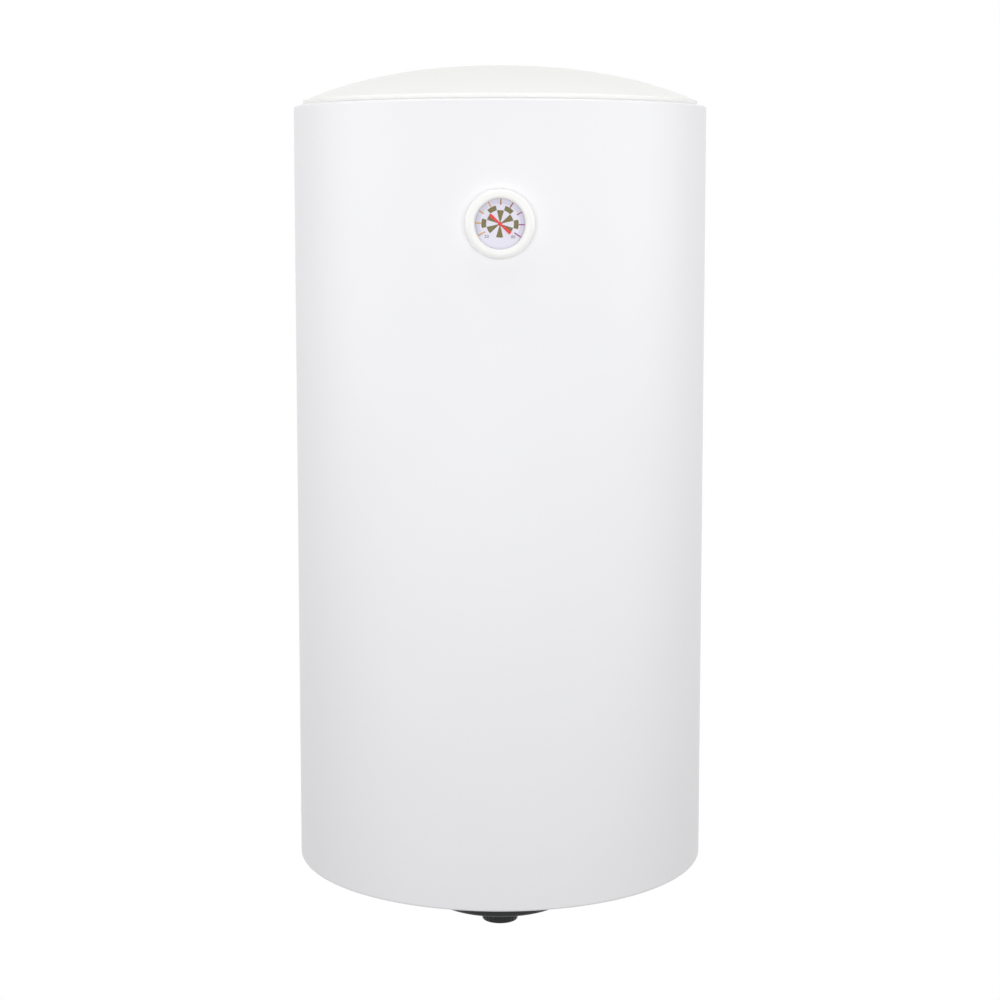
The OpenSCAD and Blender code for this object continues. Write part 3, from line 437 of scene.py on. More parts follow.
FINISHES = {
    # Steel sheet with a sprayed and baked powder coat: white, satin, with soft orange peel
    "white_enamel": painted("white_powder_coat", "#EBEBED", "#EFEFF1", (0.46, 0.52), 2.4, 0.012),
    # Injection-moulded ABS: a little whiter and softer in its shine than the coat
    "white_abs": moulded("white_abs_satin", "#EDEDEB", "#F1F1EF", (0.48, 0.56), 0.9, 0.008),
    # ABS in grey, satin, and in white from a polished mould, with clearer highlights
    "grey_abs": moulded("pale_grey_abs", "#DCDCDA", "#E3E3E1", (0.40, 0.50), 0.9, 0.012),
    "bezel_abs": moulded("white_abs_gloss", "#EDEDEB", "#F1F1EF", (0.22, 0.28), 1.2, 0.004),
    "polyurethane_foam": foamed(),
    "galvanised_steel": galvanised(),
    # Glass enamel fused to the tank: dark blue, wet-looking, wavy
    "tank_enamel": painted("blue_glass_enamel", "#16253F", "#22375A", (0.10, 0.18), 6, 0.03),
    # Turned steel with a bright zinc plate: silvery, with the tool's marks running round it
    "plated_steel": metal(
        "zinc_plated_steel", "#B4B6B5", "#D0D1CF", (0.24, 0.32), (6, 6, 0.4), 0.003),
    # Drawn tube: grey steel, with marks along it
    "stainless_tube": metal("drawn_stainless_tube", "#9A9895", "#C4C1BD", (0.26, 0.38)),
    # Copper tube, drawn and then browned by heat
    "copper_sheath": metal("browned_copper_tube", "#8A4B2C", "#C9784F", (0.30, 0.48)),
    # Turned brass: yellow and bright, with marks round it
    "brass": metal("turned_brass", "#B08A3C", "#DDBB6C", (0.22, 0.34), (6, 6, 0.4)),
    # Cast magnesium rod: dull, greyed by air
    "magnesium": metal("cast_magnesium", "#7F7F7D", "#B4B4B1", (0.5, 0.65), (1.5, 1.5, 1.5), 0.03),
    # Moulded EPDM: matt black with a grey bloom
    "rubber": moulded("black_epdm_rubber", "#161616", "#242424", (0.72, 0.85), 0.6, 0.03, 1.52),
    # Injection-moulded polypropylene: dark, satin, slightly waxy
    "black_pp": moulded("black_polypropylene", "#18191B", "#232527", (0.34, 0.44), 0.8, 0.01, 1.45),
    # Glass-filled nylon: black, duller and drier than the polypropylene
    "black_nylon": moulded(
        "black_nylon_glass_filled", "#1B1C1D", "#27282A", (0.46, 0.58), 0.7, 0.015),
    # Pressed phenolic resin: hard, black and shiny
    "black_phenolic": moulded(
        "black_phenolic_resin", "#080809", "#101011", (0.18, 0.26), 1.5, 0.004, 1.42),
    # The resin with more filler: grey and dull
    "grey_phenolic": moulded(
        "grey_phenolic_resin", "#5C5D60", "#6C6D70", (0.45, 0.6), 0.8, 0.02, 1.6),
    # Nylon without pigment: ivory, soft in its shine
    "ivory_nylon": moulded("ivory_nylon", "#E2DDCB", "#ECE8DA", (0.42, 0.52), 0.8, 0.01),
    # Polypropylene in colours: even, satin, slightly waxy
    "blue_pp": moulded("blue_polypropylene", "#2450A0", "#2F5FB4", (0.36, 0.46), 0.8, 0.01, 1.49),
    "red_pp": moulded("red_polypropylene", "#B01E22", "#C42A2C", (0.36, 0.46), 0.8, 0.01, 1.49),
    # Pressed steatite: off-white, dry, with a fine grit
    "ceramic": moulded("pressed_steatite", "#DDD6C4", "#ECE7D9", (0.6, 0.75), 0.5, 0.02, 1.55),
    # Extruded PVC: an even colour and a soft shine
    "brown_pvc": moulded("brown_pvc_cover", "#5A3219", "#6E4126", (0.38, 0.5), 0.7, 0.006),
    "blue_pvc": moulded("blue_pvc_cover", "#1E49A8", "#2A58BC", (0.38, 0.5), 0.7, 0.006),
    "green_pvc": moulded("green_pvc_cover", "#4C9A28", "#8DB92E", (0.38, 0.5), 0.7, 0.006),
    "grey_pvc": moulded("grey_pvc_cover", "#707070", "#818181", (0.38, 0.5), 0.7, 0.006),
    # Thin blown glass: amber, with small sharp highlights
    "neon_glass": clear("amber_lamp_glass", "#F2A670", (0.02, 0.06), 0.8),
    # Moulded acrylic: a deep red that light shines through
    "red_lens": clear("red_acrylic", "#C61D1A", (0.08, 0.16), 0.6),
    # Acrylic sheet with a coat against glare: hardly seen
    "clear_window": clear("clear_acrylic", "#FCFCFD", (0.0, 0.015), 1.0, 0.2),
    # Aluminium plate, lacquered white with a breath of violet
    "printed_dial": painted("lacquered_dial_plate", "#E7E4F0", "#ECEAF4", (0.40, 0.48), 1.2, 0.004),
    # Red lacquer on thin metal: a strong colour, with little shine
    "red_pointer": painted("red_lacquer", "#EC1A14", "#F2261E", (0.46, 0.54), 1.0, 0.006, 1.3),
    # Rolled strip: a dull yellow grey, with marks along it
    "bimetal": metal("rolled_bimetal_strip", "#8C7440", "#B9A468", (0.28, 0.42)),
    # Oiled wire: dark grey and softly bright
    "spring_steel": metal("oiled_spring_steel", "#6C6E70", "#9A9C9E", (0.26, 0.4)),
    # Pressed aluminium: pale and even
    "aluminium_pad": metal("pressed_aluminium", "#B4B6B8", "#DADBDC", (0.3, 0.45), (2, 2, 2)),
}
ink = inked()


# ---- Casing ----

def sorted_lines(even, special, least):
    """Even grid lines and special ones in order, without the even ones that lie too close."""
    special = np.unique(np.round(special, 6))
    near = np.abs(even[:, None] - special[None, :]).min(1) < least
    return np.sort(np.concatenate([even[~near], special]))


def jacket_sheet():
    """The painted sheet's outer face, (r cos a, r sin a, z): a profile of r and z with a collar,
    a rim and a fold at each end, round all angles a. Near the back, r grows by the lock seam's
    rise. Faces inside the openings for the dial's cup and for the bracket arms are left out."""
    seam_half, seam_rise, seam_ease, seam_fade = 4.5, 0.9, 0.7, 0.8
    arm_edges = np.array([bracket_half - bracket_t - arm_gap, bracket_half + arm_gap])
    arms = np.arcsin(arm_edges / jacket_r)
    cup = np.arcsin(cup_half / jacket_r)
    seam_edge = np.array([seam_half - seam_ease, seam_half - 0.3, seam_half]) / jacket_r
    seam = np.concatenate([-seam_edge, [0], seam_edge])
    back, front = np.pi / 2, -np.pi / 2
    special = np.concatenate([back + arms, back - arms, back + seam, [front - cup, front + cup]])
    angle = sorted_lines(np.radians(np.arange(-180, 180, 1.0)) + 1e-4, special, np.radians(0.3))

    arm_rows = [z + s * (bracket_h / 2 + arm_gap) for z in bracket_zs for s in (-1, 1)]
    seam_low, seam_high = base_z + 2 * fold_r, shoulder_z - 2 * fold_r
    low, high = base_z + fold_r, shoulder_z - fold_r
    side = sorted_lines(np.linspace(low, high, 34), [
        low, high, *arm_rows, seam_low, seam_low + seam_fade, seam_high - seam_fade, seam_high,
        dial_z - cup_half, dial_z + cup_half], 3)

    edge = jacket_r - fold_r
    bend = np.radians(np.linspace(-90, 0, 9))[:-1]
    lower = np.stack([edge + fold_r * np.cos(bend), low + fold_r * np.sin(bend)], -1)
    upper = np.stack([lower[::-1, 0], base_z + shoulder_z - lower[::-1, 1]], -1)
    # Radius and distance from the sheet's end, on the collar in the mouth and on the rim
    mouth = np.array([[mouth_r, 9], [mouth_r, 4.5], [mouth_r, 1], [mouth_r + 0.3, 0.3],
                      [mouth_r + 1, 0], [(mouth_r + edge) / 2, 0]])
    foot = mouth + [0, base_z]
    head = np.stack([mouth[::-1, 0], shoulder_z - mouth[::-1, 1]], -1)
    profile = np.concatenate([foot, lower, np.stack([0 * side + jacket_r, side], -1), upper, head])

    r = np.broadcast_to(profile[None, :, 0], (len(angle), len(profile)))
    z = np.broadcast_to(profile[None, :, 1], r.shape)
    a = np.broadcast_to(angle[:, None], r.shape)
    across = np.clip((seam_half - np.abs(a - back) * jacket_r) / seam_ease, 0, 1)
    along = np.clip((z - seam_low) / seam_fade, 0, 1) * np.clip((seam_high - z) / seam_fade, 0, 1)
    r = r + seam_rise * np.sin(across * np.pi / 2) * np.sin(along * np.pi / 2)
    points = upright(np.stack([r * np.cos(a), r * np.sin(a), z], -1))

    mid_a = (angle + np.roll(angle, -1)) / 2
    mid_a[-1] = np.pi
    mid_z = (profile[1:, 1] + profile[:-1, 1]) / 2
    off_back = np.abs(mid_a - back)
    in_arm = (off_back > arms[0]) & (off_back < arms[1])
    at_arm = np.any([np.abs(mid_z - z0) < bracket_h / 2 + arm_gap for z0 in bracket_zs], 0)
    in_cup, at_cup = np.abs(mid_a - front) < cup, np.abs(mid_z - dial_z) < cup_half
    on_side = (profile[1:, 0] == jacket_r) & (profile[:-1, 0] == jacket_r)
    open_here = (in_arm[:, None] & (at_arm & on_side)) | (in_cup[:, None] & (at_cup & on_side))
    faces = faces_of(len(angle), len(profile), round_columns=False, kept=~open_here)

    mesh = bpy.data.meshes.new("jacket_sheet")
    mesh.from_pydata((points.reshape(-1, 3) / 1000).tolist(), [], faces.tolist())
    sheet = in_scene("jacket_sheet", mesh)
    wall = sheet.modifiers.new("sheet", "SOLIDIFY")
    wall.thickness, wall.offset = sheet_t / 1000, -1
    return carved(sheet)


def dome_height(r):
    """Height of the lid's outer face: lip + rise (1 - 0.78 s2 - 0.22 s4), s = r / lid radius."""
    s = r / lid_r
    return lip_top + dome_rise * (1 - 0.78 * s ** 2 - 0.22 * s ** 4)


def lid():
    """The domed cover: a hollow section from the axis, out under the dome, down its spigot and
    back up over the lip, which leans in towards the jacket, turned round the axis."""
    bore = spigot_r - cover_wall
    under = np.linspace(0, bore, 40)
    over = (lid_r - 2) * np.cos(np.linspace(0, np.pi / 2, 56))
    over[-1] = 0
    corners = np.concatenate([
        np.stack([under, dome_height(under) - cover_wall, 0 * under], -1),
        [(bore, shoulder_z - spigot_h, 0.4), (spigot_r, shoulder_z - spigot_h, 0.6),
         (spigot_r, lip_z, 0), (lid_r - 1.9, lip_z, 0.35), (lid_r, lip_top, 0.7)],
        np.stack([over, dome_height(over), 0 * over], -1)])
    return loose("lid", axis_solid(upright(turned(softened(corners, 8), steps=360))))


def base_cover():
    """The cover in the jacket's lower mouth: a spigot outside, a collar round the service
    opening, and a stiffening ring pressed out of its face."""
    top, rim, collar_top = base_face + cover_wall, base_face + spigot_h, base_face + 18
    inner, bead, bead_z = hood_r - 24, spigot_r - 22, base_face - 1.5
    section = softened([
        (inner, base_face, 0.6), (bead - 5, base_face, 1.5), (bead - 3, bead_z, 1),
        (bead + 3, bead_z, 1), (bead + 5, base_face, 1.5), (spigot_r, base_face, 0.8),
        (spigot_r, rim, 0.4), (spigot_r - cover_wall, rim, 0.4),
        (spigot_r - cover_wall, top, 1), (inner + cover_wall, top, 1),
        (inner + cover_wall, collar_top, 0.4), (inner, collar_top, 0.4)])
    plate = loose("base_cover", ring_solid(upright(turned(section, steps=256))))
    boss_r, pilot_r, pipe_hole_r = 4.6, 2.05, 13.9
    bosses = [rod(boss_r, base_face + 0.5, boss_top, x, steps=40) for x in (-screw_x, screw_x)]
    carved(plate, *bosses, how="UNION")
    under = base_face - 3
    holes = [rod(pipe_hole_r, under, top + 2, x, pipe_y, 72) for x in (-pipe_x, pipe_x)]
    holes += [rod(pilot_r, under, boss_top - 1, x, steps=32) for x in (-screw_x, screw_x)]
    return carved(plate, *holes)


# ---- Wall brackets ----

def bracket(name, middle):
    """A steel strip bent to a channel: the strip's section, 3 mm by its height, carried along
    an arm, a bend, the back, a bend and the other arm. Two long holes are cut in the back."""
    half, corner = bracket_half, 6
    reach = 200.1  # from the tank's axis to the ends of the arms, just clear of its wall
    depth = math.sqrt(reach ** 2 - (half - bracket_t) ** 2)
    turn = np.radians(np.linspace(0, 90, 9))[:, None]
    bend = np.concatenate([np.cos(turn), np.sin(turn)], 1)
    centre = np.array([half - corner, -corner])
    right = np.concatenate([[[half, axis_y + depth]], centre + corner * bend])
    right_in = np.concatenate([[[half - bracket_t, axis_y + depth]],
                               centre + (corner - bracket_t) * bend])
    outer = np.concatenate([right, right[::-1] * [-1, 1]])
    inner = np.concatenate([right_in, right_in[::-1] * [-1, 1]])
    low, high = middle - bracket_h / 2, middle + bracket_h / 2
    rails = [np.insert(path, 2, z, 1) for path, z in
             ((outer, low), (outer, high), (inner, high), (inner, low))]
    strip = loose(name, bar_solid(np.stack(rails, 1)))
    slot_r, slot_run = 5.5, 6.5
    end = np.radians(np.linspace(-90, 90, 17))
    arc = np.stack([slot_run + slot_r * np.cos(end), slot_r * np.sin(end)], -1)
    slot = raised(np.concatenate([arc, -arc]), [-bracket_t - 2, 2])
    slots = [loose("slot", bar_solid(np.stack(
        [slot[..., 0] + x, slot[..., 2], slot[..., 1] + middle], -1))) for x in (-slot_x, slot_x)]
    return carved(strip, *slots)


# ---- Water connections ----

def pipe_end(name, side):
    """A steel nipple with a G 1/2 thread. On the thread, r = major - depth (1 - crest), where
    crest runs from 0 to 1 and back once for each pitch of z - pitch a / turn, and fades in and
    out at the ends; the chamfer caps r below."""
    pitch, depth, major, chamfer, bore = 1.814, 1.162, 10.48, 1.0, 7.5
    foot, head = pipe_low[2], extent(pipe_names[side])[1][2]
    start, stop = foot + chamfer, foot + chamfer + 17
    thread = np.linspace(start - 0.6, stop, 124)
    profile = np.concatenate([[(bore, foot + 0.5), (bore + 0.5, foot), (major - chamfer, foot)],
                              np.stack([0 * thread + major, thread], -1),
                              [(10, stop + 0.5), (10, head), (bore, head)]])

    def radius(r, z, angle):
        wave = np.abs(2 * ((z / pitch - angle / TAU) % 1) - 1)
        crest = np.clip(1.5 * wave - 0.25, 0, 1)
        crest = crest * crest * (3 - 2 * crest)
        fade = np.clip((z - start + 1) / pitch, 0, 1) * np.clip((stop - z) / (1.5 * pitch), 0, 1)
        cut = r - depth * (1 - crest) * fade
        cap = major - chamfer + np.clip(z - foot, 0, None)
        return np.where((z > start - 0.7) & (z < stop + 0.01), np.minimum(cut, cap), r + 0 * angle)

    return loose(name, ring_solid(upright(turned(profile, radius, 96), side * pipe_x, pipe_y)))


def collar(name, side):
    """The coloured plastic collar round a nipple: a flange under the cover and a neck in it."""
    bore, flange, neck = 10.4, 19, 13.5
    under, over = base_face - 2.5, base_face + 4.5
    section = softened([(bore, under, 0.8), (flange, under, 1.4), (flange, base_face, 0.2),
                        (neck, base_face, 0), (neck, over, 0.8), (bore, over, 0.4)])
    return loose(name, ring_solid(upright(turned(section, steps=96), side * pipe_x, pipe_y)))


# ---- Terminal cover ----

def hood():
    """The black cover under the heater: a tapered cup, turned from a section with a 6 mm fillet,
    with two screw columns inside it, their wells, and holes for spindle, lamp and gland."""
    floor_r = hood_r - 6
    wall, fillet = 2.5, 6
    bend = np.radians(np.linspace(-90, 0, 13))
    corner = np.array([floor_r - fillet, hood_z + fillet])
    outside = corner + fillet * np.stack([np.cos(bend), np.sin(bend)], -1)
    inside = corner + (fillet - wall) * np.stack([np.cos(bend[::-1]), np.sin(bend[::-1])], -1)
    rim = [(hood_r - 0.15, base_face - 0.6), (hood_r - 0.5, base_face), (hood_r - wall, base_face)]
    section = np.concatenate([[(0, hood_z)], outside, rim, inside, [(0, hood_z + wall)]])
    cup = loose("hood", axis_solid(upright(turned(section, steps=256))))
    screws, column_r, well_r, shank_r = (-screw_x, screw_x), 6, 4.1, 2.4
    trim = [(0, hood_z + 0.5), (floor_r - 1, hood_z + 0.5), (floor_r - 0.5, hood_z + fillet),
            (hood_r - 0.5, base_face + 1), (0, base_face + 1)]
    columns = [carved(rod(column_r, hood_z + 1, base_face - 0.01, x),
                      loose("cone", axis_solid(upright(turned(trim, steps=256)))), how="INTERSECT")
               for x in screws]
    carved(cup, *columns, how="UNION")
    seat, under, over = hood_z + 40, hood_z - 2, hood_z + 4
    cuts = [rod(well_r, under, seat, x) for x in screws]
    cuts += [rod(shank_r, seat - 1, base_face + 1, x, steps=32) for x in screws]
    cuts += [rod(r, under, over, 0, y) for r, y in ((5, knob_y), (5.1, lamp_y), (8.1, gland_y))]
    return carved(cup, *cuts)


def knob():
    """The thermostat knob: a cup with a hub, turned from its section. On the grip the radius
    drops by 0.9 mm in each of 24 flutes, (0.5 + 0.5 cos 24 a) to the fourth power, and the
    flutes fade out towards the skirt and the foot's rounding."""
    foot, top = knob_low[2], knob_high[2]
    grip_r, edge_r, inside = knob_r - 1, knob_r - 0.6, knob_r - 3.2
    floor, hub_r, bore_r = foot + 2.2, 5.5, 3.05
    flutes, flute_depth = 24, 0.9
    section = softened([
        (0, foot + 0.5, 0), (knob_r - 5, foot + 0.5, 2), (knob_r - 3.6, foot, 0.8),
        (grip_r, foot, 1.6), (edge_r, top - 3.6, 0.8), (knob_r, top - 3, 0.5), (knob_r, top, 0.5),
        (inside, top, 0.3), (inside, floor, 1), (hub_r, floor, 1), (hub_r, top - 1, 0.4),
        (bore_r, top - 1, 0.2), (bore_r, foot + 3, 0), (0, foot + 3, 0)], 5)
    extra = np.stack([np.linspace(grip_r, edge_r, 9), np.linspace(foot + 2, top - 4.2, 9)], -1)[1:-1]
    at = int(np.argmax((section[:, 1] > foot + 2) & (section[:, 0] > knob_r - 2)))
    section = np.insert(section, at, extra, 0)

    def radius(r, z, angle):
        flute = (0.5 + 0.5 * np.cos(flutes * angle)) ** 4
        fade = np.clip((z - foot - 0.2) / 2.2, 0, 1) * np.clip((top - 3.4 - z) / 1.6, 0, 1)
        grip = np.clip((r - knob_r + 4.5) / 2, 0, 1)
        return r - flute_depth * flute * fade * grip + 0 * angle

    return loose("knob", axis_solid(upright(turned(section, radius, 480), 0, knob_y)))


def knob_mark():
    """A raised bar on the knob's foot, pointing to the front."""
    foot, half, tip, tail = knob_low[2], 0.7, knob_r - 4.4, knob_r - 10
    outline = softened([(-half, -tip, 0.3), (half, -tip, 0.3), (half, -tail, 0.3),
                        (-half, -tail, 0.3)], 4)
    bar = raised(outline, [foot + 0.15, foot + 0.9])
    return loose("knob_mark", bar_solid(upright(bar, 0, knob_y)))


def knob_scale():
    """Nine raised dots round the knob, each a flat dome, growing from 0.8 to 1.6 mm."""
    turn = np.radians(np.linspace(-120, 120, 9) - 90)
    sizes = np.linspace(0.8, 1.6, 9)
    ring_r, rise = knob_r + 4.5, 0.35
    dots = []
    for a, size in zip(turn, sizes):
        t = np.radians(np.linspace(0, 90, 5))
        dome = np.stack([size * np.sin(t), hood_z - rise * np.cos(t)], -1)
        section = np.concatenate([dome, [(size, hood_z + 0.3), (0, hood_z + 0.3)]])
        dots.append(axis_solid(upright(
            turned(section, steps=20), ring_r * np.cos(a), knob_y + ring_r * np.sin(a))))
    return loose("knob_scale", *dots)


def lamp_cap():
    """The red cap over the lamp: a plain cylinder in the hole, and a dome below that bulges by
    rise (sqrt(1 - (0.9 t)2) - sqrt(1 - 0.9 2)), where t is the share of its radius."""
    r, rise = 5.0, 2.0
    t = np.linspace(0, 1, 12)
    dome = np.stack([r * t, hood_z - rise * np.sqrt(1 - (0.9 * t) ** 2) + rise * math.sqrt(0.19)], -1)
    section = np.concatenate([dome, [(r, hood_z + 2.5), (0, hood_z + 2.5)]])
    return loose("lamp_cap", axis_solid(upright(turned(section, steps=64), 0, lamp_y)))


def hexagon(flats):
    """Radius of a hexagon with a corner at angle 0, flats / 2 / cos(angle from the middle of the
    nearest flat), or the section's own radius where that is smaller, as on the chamfers."""
    def radius(r, z, angle):
        return np.minimum(flats / 2 / np.cos(angle % (np.pi / 3) - np.pi / 6), r)
    return radius


def gland(name, section, flats=0):
    """A part of the cable gland: its section turned round the gland's axis, with flats if any."""
    shape = turned(section, hexagon(flats) if flats else None, 144)
    return loose(name, ring_solid(upright(shape, 0, gland_y)))


def gland_parts():
    """The cable gland: a hexagonal body, a hexagonal cap that ends in a cone, and its seal."""
    z, bore, corner = hood_z, 4.7, gland_flats / math.sqrt(3)
    body = gland("gland_neck", [
        (bore, z + 9.5), (bore, z - 3), (6.3, z - 3), (6.3, z - 13), (7.5, z - 13), (7.5, z - 4),
        (9, z - 4), (corner - 0.6, z - 4), (corner, z - 3.4), (corner, z - 0.4), (corner - 0.5, z),
        (8, z), (8, z + 9.5)], gland_flats)
    cap = gland("gland_cap_nut", [
        (7.55, z - 4.1), (7.55, z - 14.1), (bore, z - 14.1), (bore, z - 17.6), (5.2, z - 18),
        (6.8, z - 18), (7.3, z - 17.6), (9.3, z - 13.4), (corner - 0.9, z - 12.7), (corner, z - 12),
        (corner, z - 4.8), (corner - 0.7, z - 4.1)], gland_flats)
    seal = gland("gland_ring", softened([
        (4.2, z - 14, 0.5), (6.2, z - 14, 0.2), (6.2, z - 3.1, 0.2), (4.2, z - 3.1, 0.5)]))
    return body, cap, seal


# ---- Thermometer ----

def bezel():
    """The rounded ring round the dial: its section turned about the dial's axis. Its back edge
    stands on the jacket, so there the height is sqrt(jacket radius2 - (r cos a)2)."""
    front, inner, outer = bezel_front, window_r, bezel_r
    step, skirt = inner + 2.1, inner + 5.1  # the recess for window and plate, and the hollow foot
    big, ease = 5.5, 3.3
    out = np.radians(np.linspace(0, 90, 15))
    inn = np.radians(np.linspace(100, 180, 11))
    crown = np.concatenate([
        np.stack([outer - big + big * np.cos(out), front - big + big * np.sin(out)], -1),
        np.stack([inner + ease + ease * np.cos(inn), front - ease + ease * np.sin(inn)], -1)])
    section = np.concatenate([[(skirt, 0), (outer - 0.3, 0), (outer, 1)], crown,
                              [(inner, window_front), (step, window_front), (step, dial_back),
                               (skirt, dial_back)]])
    shape = turned(section, steps=240)
    foot = np.sqrt((jacket_r + 0.1) ** 2 - shape[..., 0] ** 2)
    at_foot = shape[..., 2] < 10
    shape[..., 2] = np.where(at_foot, foot + 0.3 * shape[..., 2], shape[..., 2])
    return loose("bezel", ring_solid(on_dial(shape)))


def disc(name, r, low, high, soft=0.2, bore=0.0):
    """A flat disc about the dial's axis, its rim rounded, with a bore if any."""
    section = softened([(bore, low, 0), (r, low, soft), (r, high, soft), (bore, high, 0)], 3)
    solid = ring_solid if bore else axis_solid
    return loose(name, solid(on_dial(turned(section))))


def sector(inner, outer, middle, width, low, high):
    """A flat mark between two radii; middle and width are angles, clockwise from straight up."""
    steps = max(2, int(abs(width) / 2.5) + 1)
    a = np.radians(90 - middle + np.linspace(-width / 2, width / 2, steps))[:, None]
    corners = np.array([(inner, low), (outer, low), (outer, high), (inner, high)])
    r, h = corners[None, :, 0] + 0 * a, corners[None, :, 1] + 0 * a
    return bar_solid(on_dial(np.stack([r * np.cos(a), r * np.sin(a), h], -1)))


def tick(inner, outer, middle, width, low, high):
    """A straight mark of even width, along a radius."""
    a = math.radians(90 - middle)
    along, aside = np.array([math.cos(a), math.sin(a)]), np.array([-math.sin(a), math.cos(a)])
    corners = ((inner, -width), (outer, -width), (outer, width), (inner, width))
    outline = [r * along + w / 2 * aside for r, w in corners]
    return bar_solid(on_dial(raised(outline, [low, high])))


def dial_print():
    """Everything printed on the dial: a pale scale band, olive wedges and blocks in a ring, and
    nine ticks that warm from yellow to purple, the end two longer. Each mark keeps its ink as
    an attribute."""
    base, film, turn = dial_front, 0.03, 2.0
    band, wedge, block, tick_end = (20, 25.2), (1.0, 13.6), (13.8, 18.6), 24.6  # radii
    top, olive = base + film, "#76692E"
    marks = [(sector(*band, turn, 250, base, top), "#DDDAE9")]
    marks += [(sector(*wedge, 60 * k + turn, 30, base, top), olive) for k in range(6)]
    marks += [(sector(*block, middle + turn, 30, base, top), olive)
              for middle in (-90, -30, 30, 90)]
    inks = ("#E2A008", "#DEA212", "#D89A18", "#DC9448", "#A8622C",
            "#7F3C3C", "#A8485C", "#A82C80", "#9C2880")
    for middle, shade in zip(range(-120, 121, 30), inks):
        start = 16.8 if abs(middle) == 120 else 18.9
        marks.append((tick(start, tick_end, middle + turn, 1.25, top, base + 2 * film), shade))
    thing = loose("dial_print", *(solid for solid, _ in marks))
    paint(thing, [(len(solid[0]), shade) for solid, shade in marks])
    return thing


def paint(thing, runs):
    """Writes the attribute "ink": each run of points takes one colour, by the mark it is in."""
    shades = np.concatenate([np.tile(colour(shade), (count, 1)) for count, shade in runs])
    mesh = thing.data
    if len(mesh.vertices) != len(shades):
        raise RuntimeError("a mark on the dial has doubled points, so its inks would slip")
    mesh.attributes.new("ink", "FLOAT_COLOR", "POINT").data.foreach_set(
        "color", shades.astype(np.float32).ravel())


def dial_numbers():
    """Plain degrees at both ends of the scale, as thin raised figures."""
    solids = []
    for text, spot in (("20", (-13.4, -12.6)), ("80", (13.2, -13.0))):
        line = bpy.data.curves.new("number", "FONT")
        line.body, line.size, line.extrude = text, 4.4, 0.015
        line.align_x = line.align_y = "CENTER"
        thing = in_scene("number", line)
        mesh = evaluated_mesh(thing)
        points = np.zeros(len(mesh.vertices) * 3)
        mesh.vertices.foreach_get("co", points)
        points = points.reshape(-1, 3) + [*spot, dial_front + 0.02]
        solids.append((on_dial(points), [list(p.vertices) for p in mesh.polygons]))
        bpy.data.objects.remove(thing)
    thing = loose("dial_numbers", *solids)
    paint(thing, [(len(thing.data.vertices), "#38364C")])
    return thing


def pointer():
    """Two tapered arms, and a lobe that leaves a notch in the short one's end. Each is a flat
    section, bevelled on its upper edges, carried along the arm: a station is the distance from
    the hub and where the left and right edges are."""
    low, high, bevel = pointer_back, pointer_front, 0.15
    turn = math.radians(48)

    def arm(stations):
        s = np.array(stations, float)
        left, right = s[:, 1], s[:, 2]
        flat = [(left, low), (right, low), (right, high - bevel), (right - bevel, high),
                (left + bevel, high), (left, high - bevel)]
        rows = np.stack([np.stack([x, s[:, 0], 0 * x + h], -1) for x, h in flat], 1)
        x, y = rows[..., 0], rows[..., 1]
        spun = np.stack([x * math.cos(turn) - y * math.sin(turn),
                         x * math.sin(turn) + y * math.cos(turn), rows[..., 2]], -1)
        return bar_solid(on_dial(spun))

    long_arm = arm([(0, -0.8, 0.8), (10, -1.5, 1.5), (12.7, -1.45, 1.5), (14.3, 0.0, 0.7)])
    short_arm = arm([(0, -0.8, 0.8), (-12.6, -1.6, 1.7), (-13.4, -1.0, 1.5), (-13.9, -0.5, 1.4)])
    lobe = arm([(-12.6, -1.6, -0.2), (-14.3, -1.3, -0.5)])
    return loose("pointer", long_arm), loose("arm", short_arm), loose("lobe", lobe)


def pointer_hub():
    """The pressed hub: a low dome with a rounded rim."""
    rim_r, front = 2.0, pointer_front
    section = softened([(0, pointer_back, 0), (rim_r, pointer_back, 0.1), (rim_r, front + 0.1, 0.25),
                        (1.2, front + 0.5, 0.3), (0, front + 0.55, 0)])
    return loose("hub", axis_solid(on_dial(turned(section, steps=48))))


# ---- Putting it together ----

def dress_frame():
    """Gives every CAD node the finish of its slot."""
    for part in frame["record"]["subparts"]:
        node = frame["nodes"][part["node"]]
        node.data.materials.clear()
        node.data.materials.append(FINISHES[part["material_slot"]])


def place(thing, body, slot, nodes=(), **more):
    """Finishes a thing with the finish that its slot has."""
    return piece(thing, body, slot, FINISHES[slot], nodes, **more)


dress_frame()
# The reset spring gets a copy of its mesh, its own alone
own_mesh(frame["nodes"]["reset_spring"])
place(jacket_sheet(), "heater", "white_enamel", ["jacket"])
place(lid(), "heater", "white_abs", ["top_cover"])
place(base_cover(), "heater", "grey_abs", ["bottom_cover"])
for name, middle, node in zip(("upper_hanger", "lower_hanger"), bracket_zs, bracket_names):
    place(bracket(name, middle), "heater", "galvanised_steel", [node], bevel=0.4)
for side, name, slot in ((1, "cold", "blue_pp"), (-1, "hot", "red_pp")):
    place(pipe_end(name + "_pipe_end", side), "heater", "plated_steel", [pipe_names[side]])
    place(collar(name + "_collar", side), "heater", slot, [name + "_grommet"])
place(hood(), "heater", "black_pp", ["terminal_cover"])
place(knob(), "knob", "black_phenolic", ["thermostat_knob"], crease=50)
place(knob_mark(), "knob", "white_abs", bevel=0.1)
place(knob_scale(), "heater", "black_pp")
place(lamp_cap(), "heater", "red_lens", ["lamp_lens"])
for thing, slot, node in zip(gland_parts(), ("black_nylon", "black_nylon", "rubber"),
                             ("gland_body", "gland_cap", "gland_seal")):
    place(thing, "heater", slot, [node])
place(bezel(), "heater", "bezel_abs", ["thermometer_bezel"])
place(disc("window", dial_r, window_back, window_front), "heater", "clear_window",
      ["thermometer_lens"])
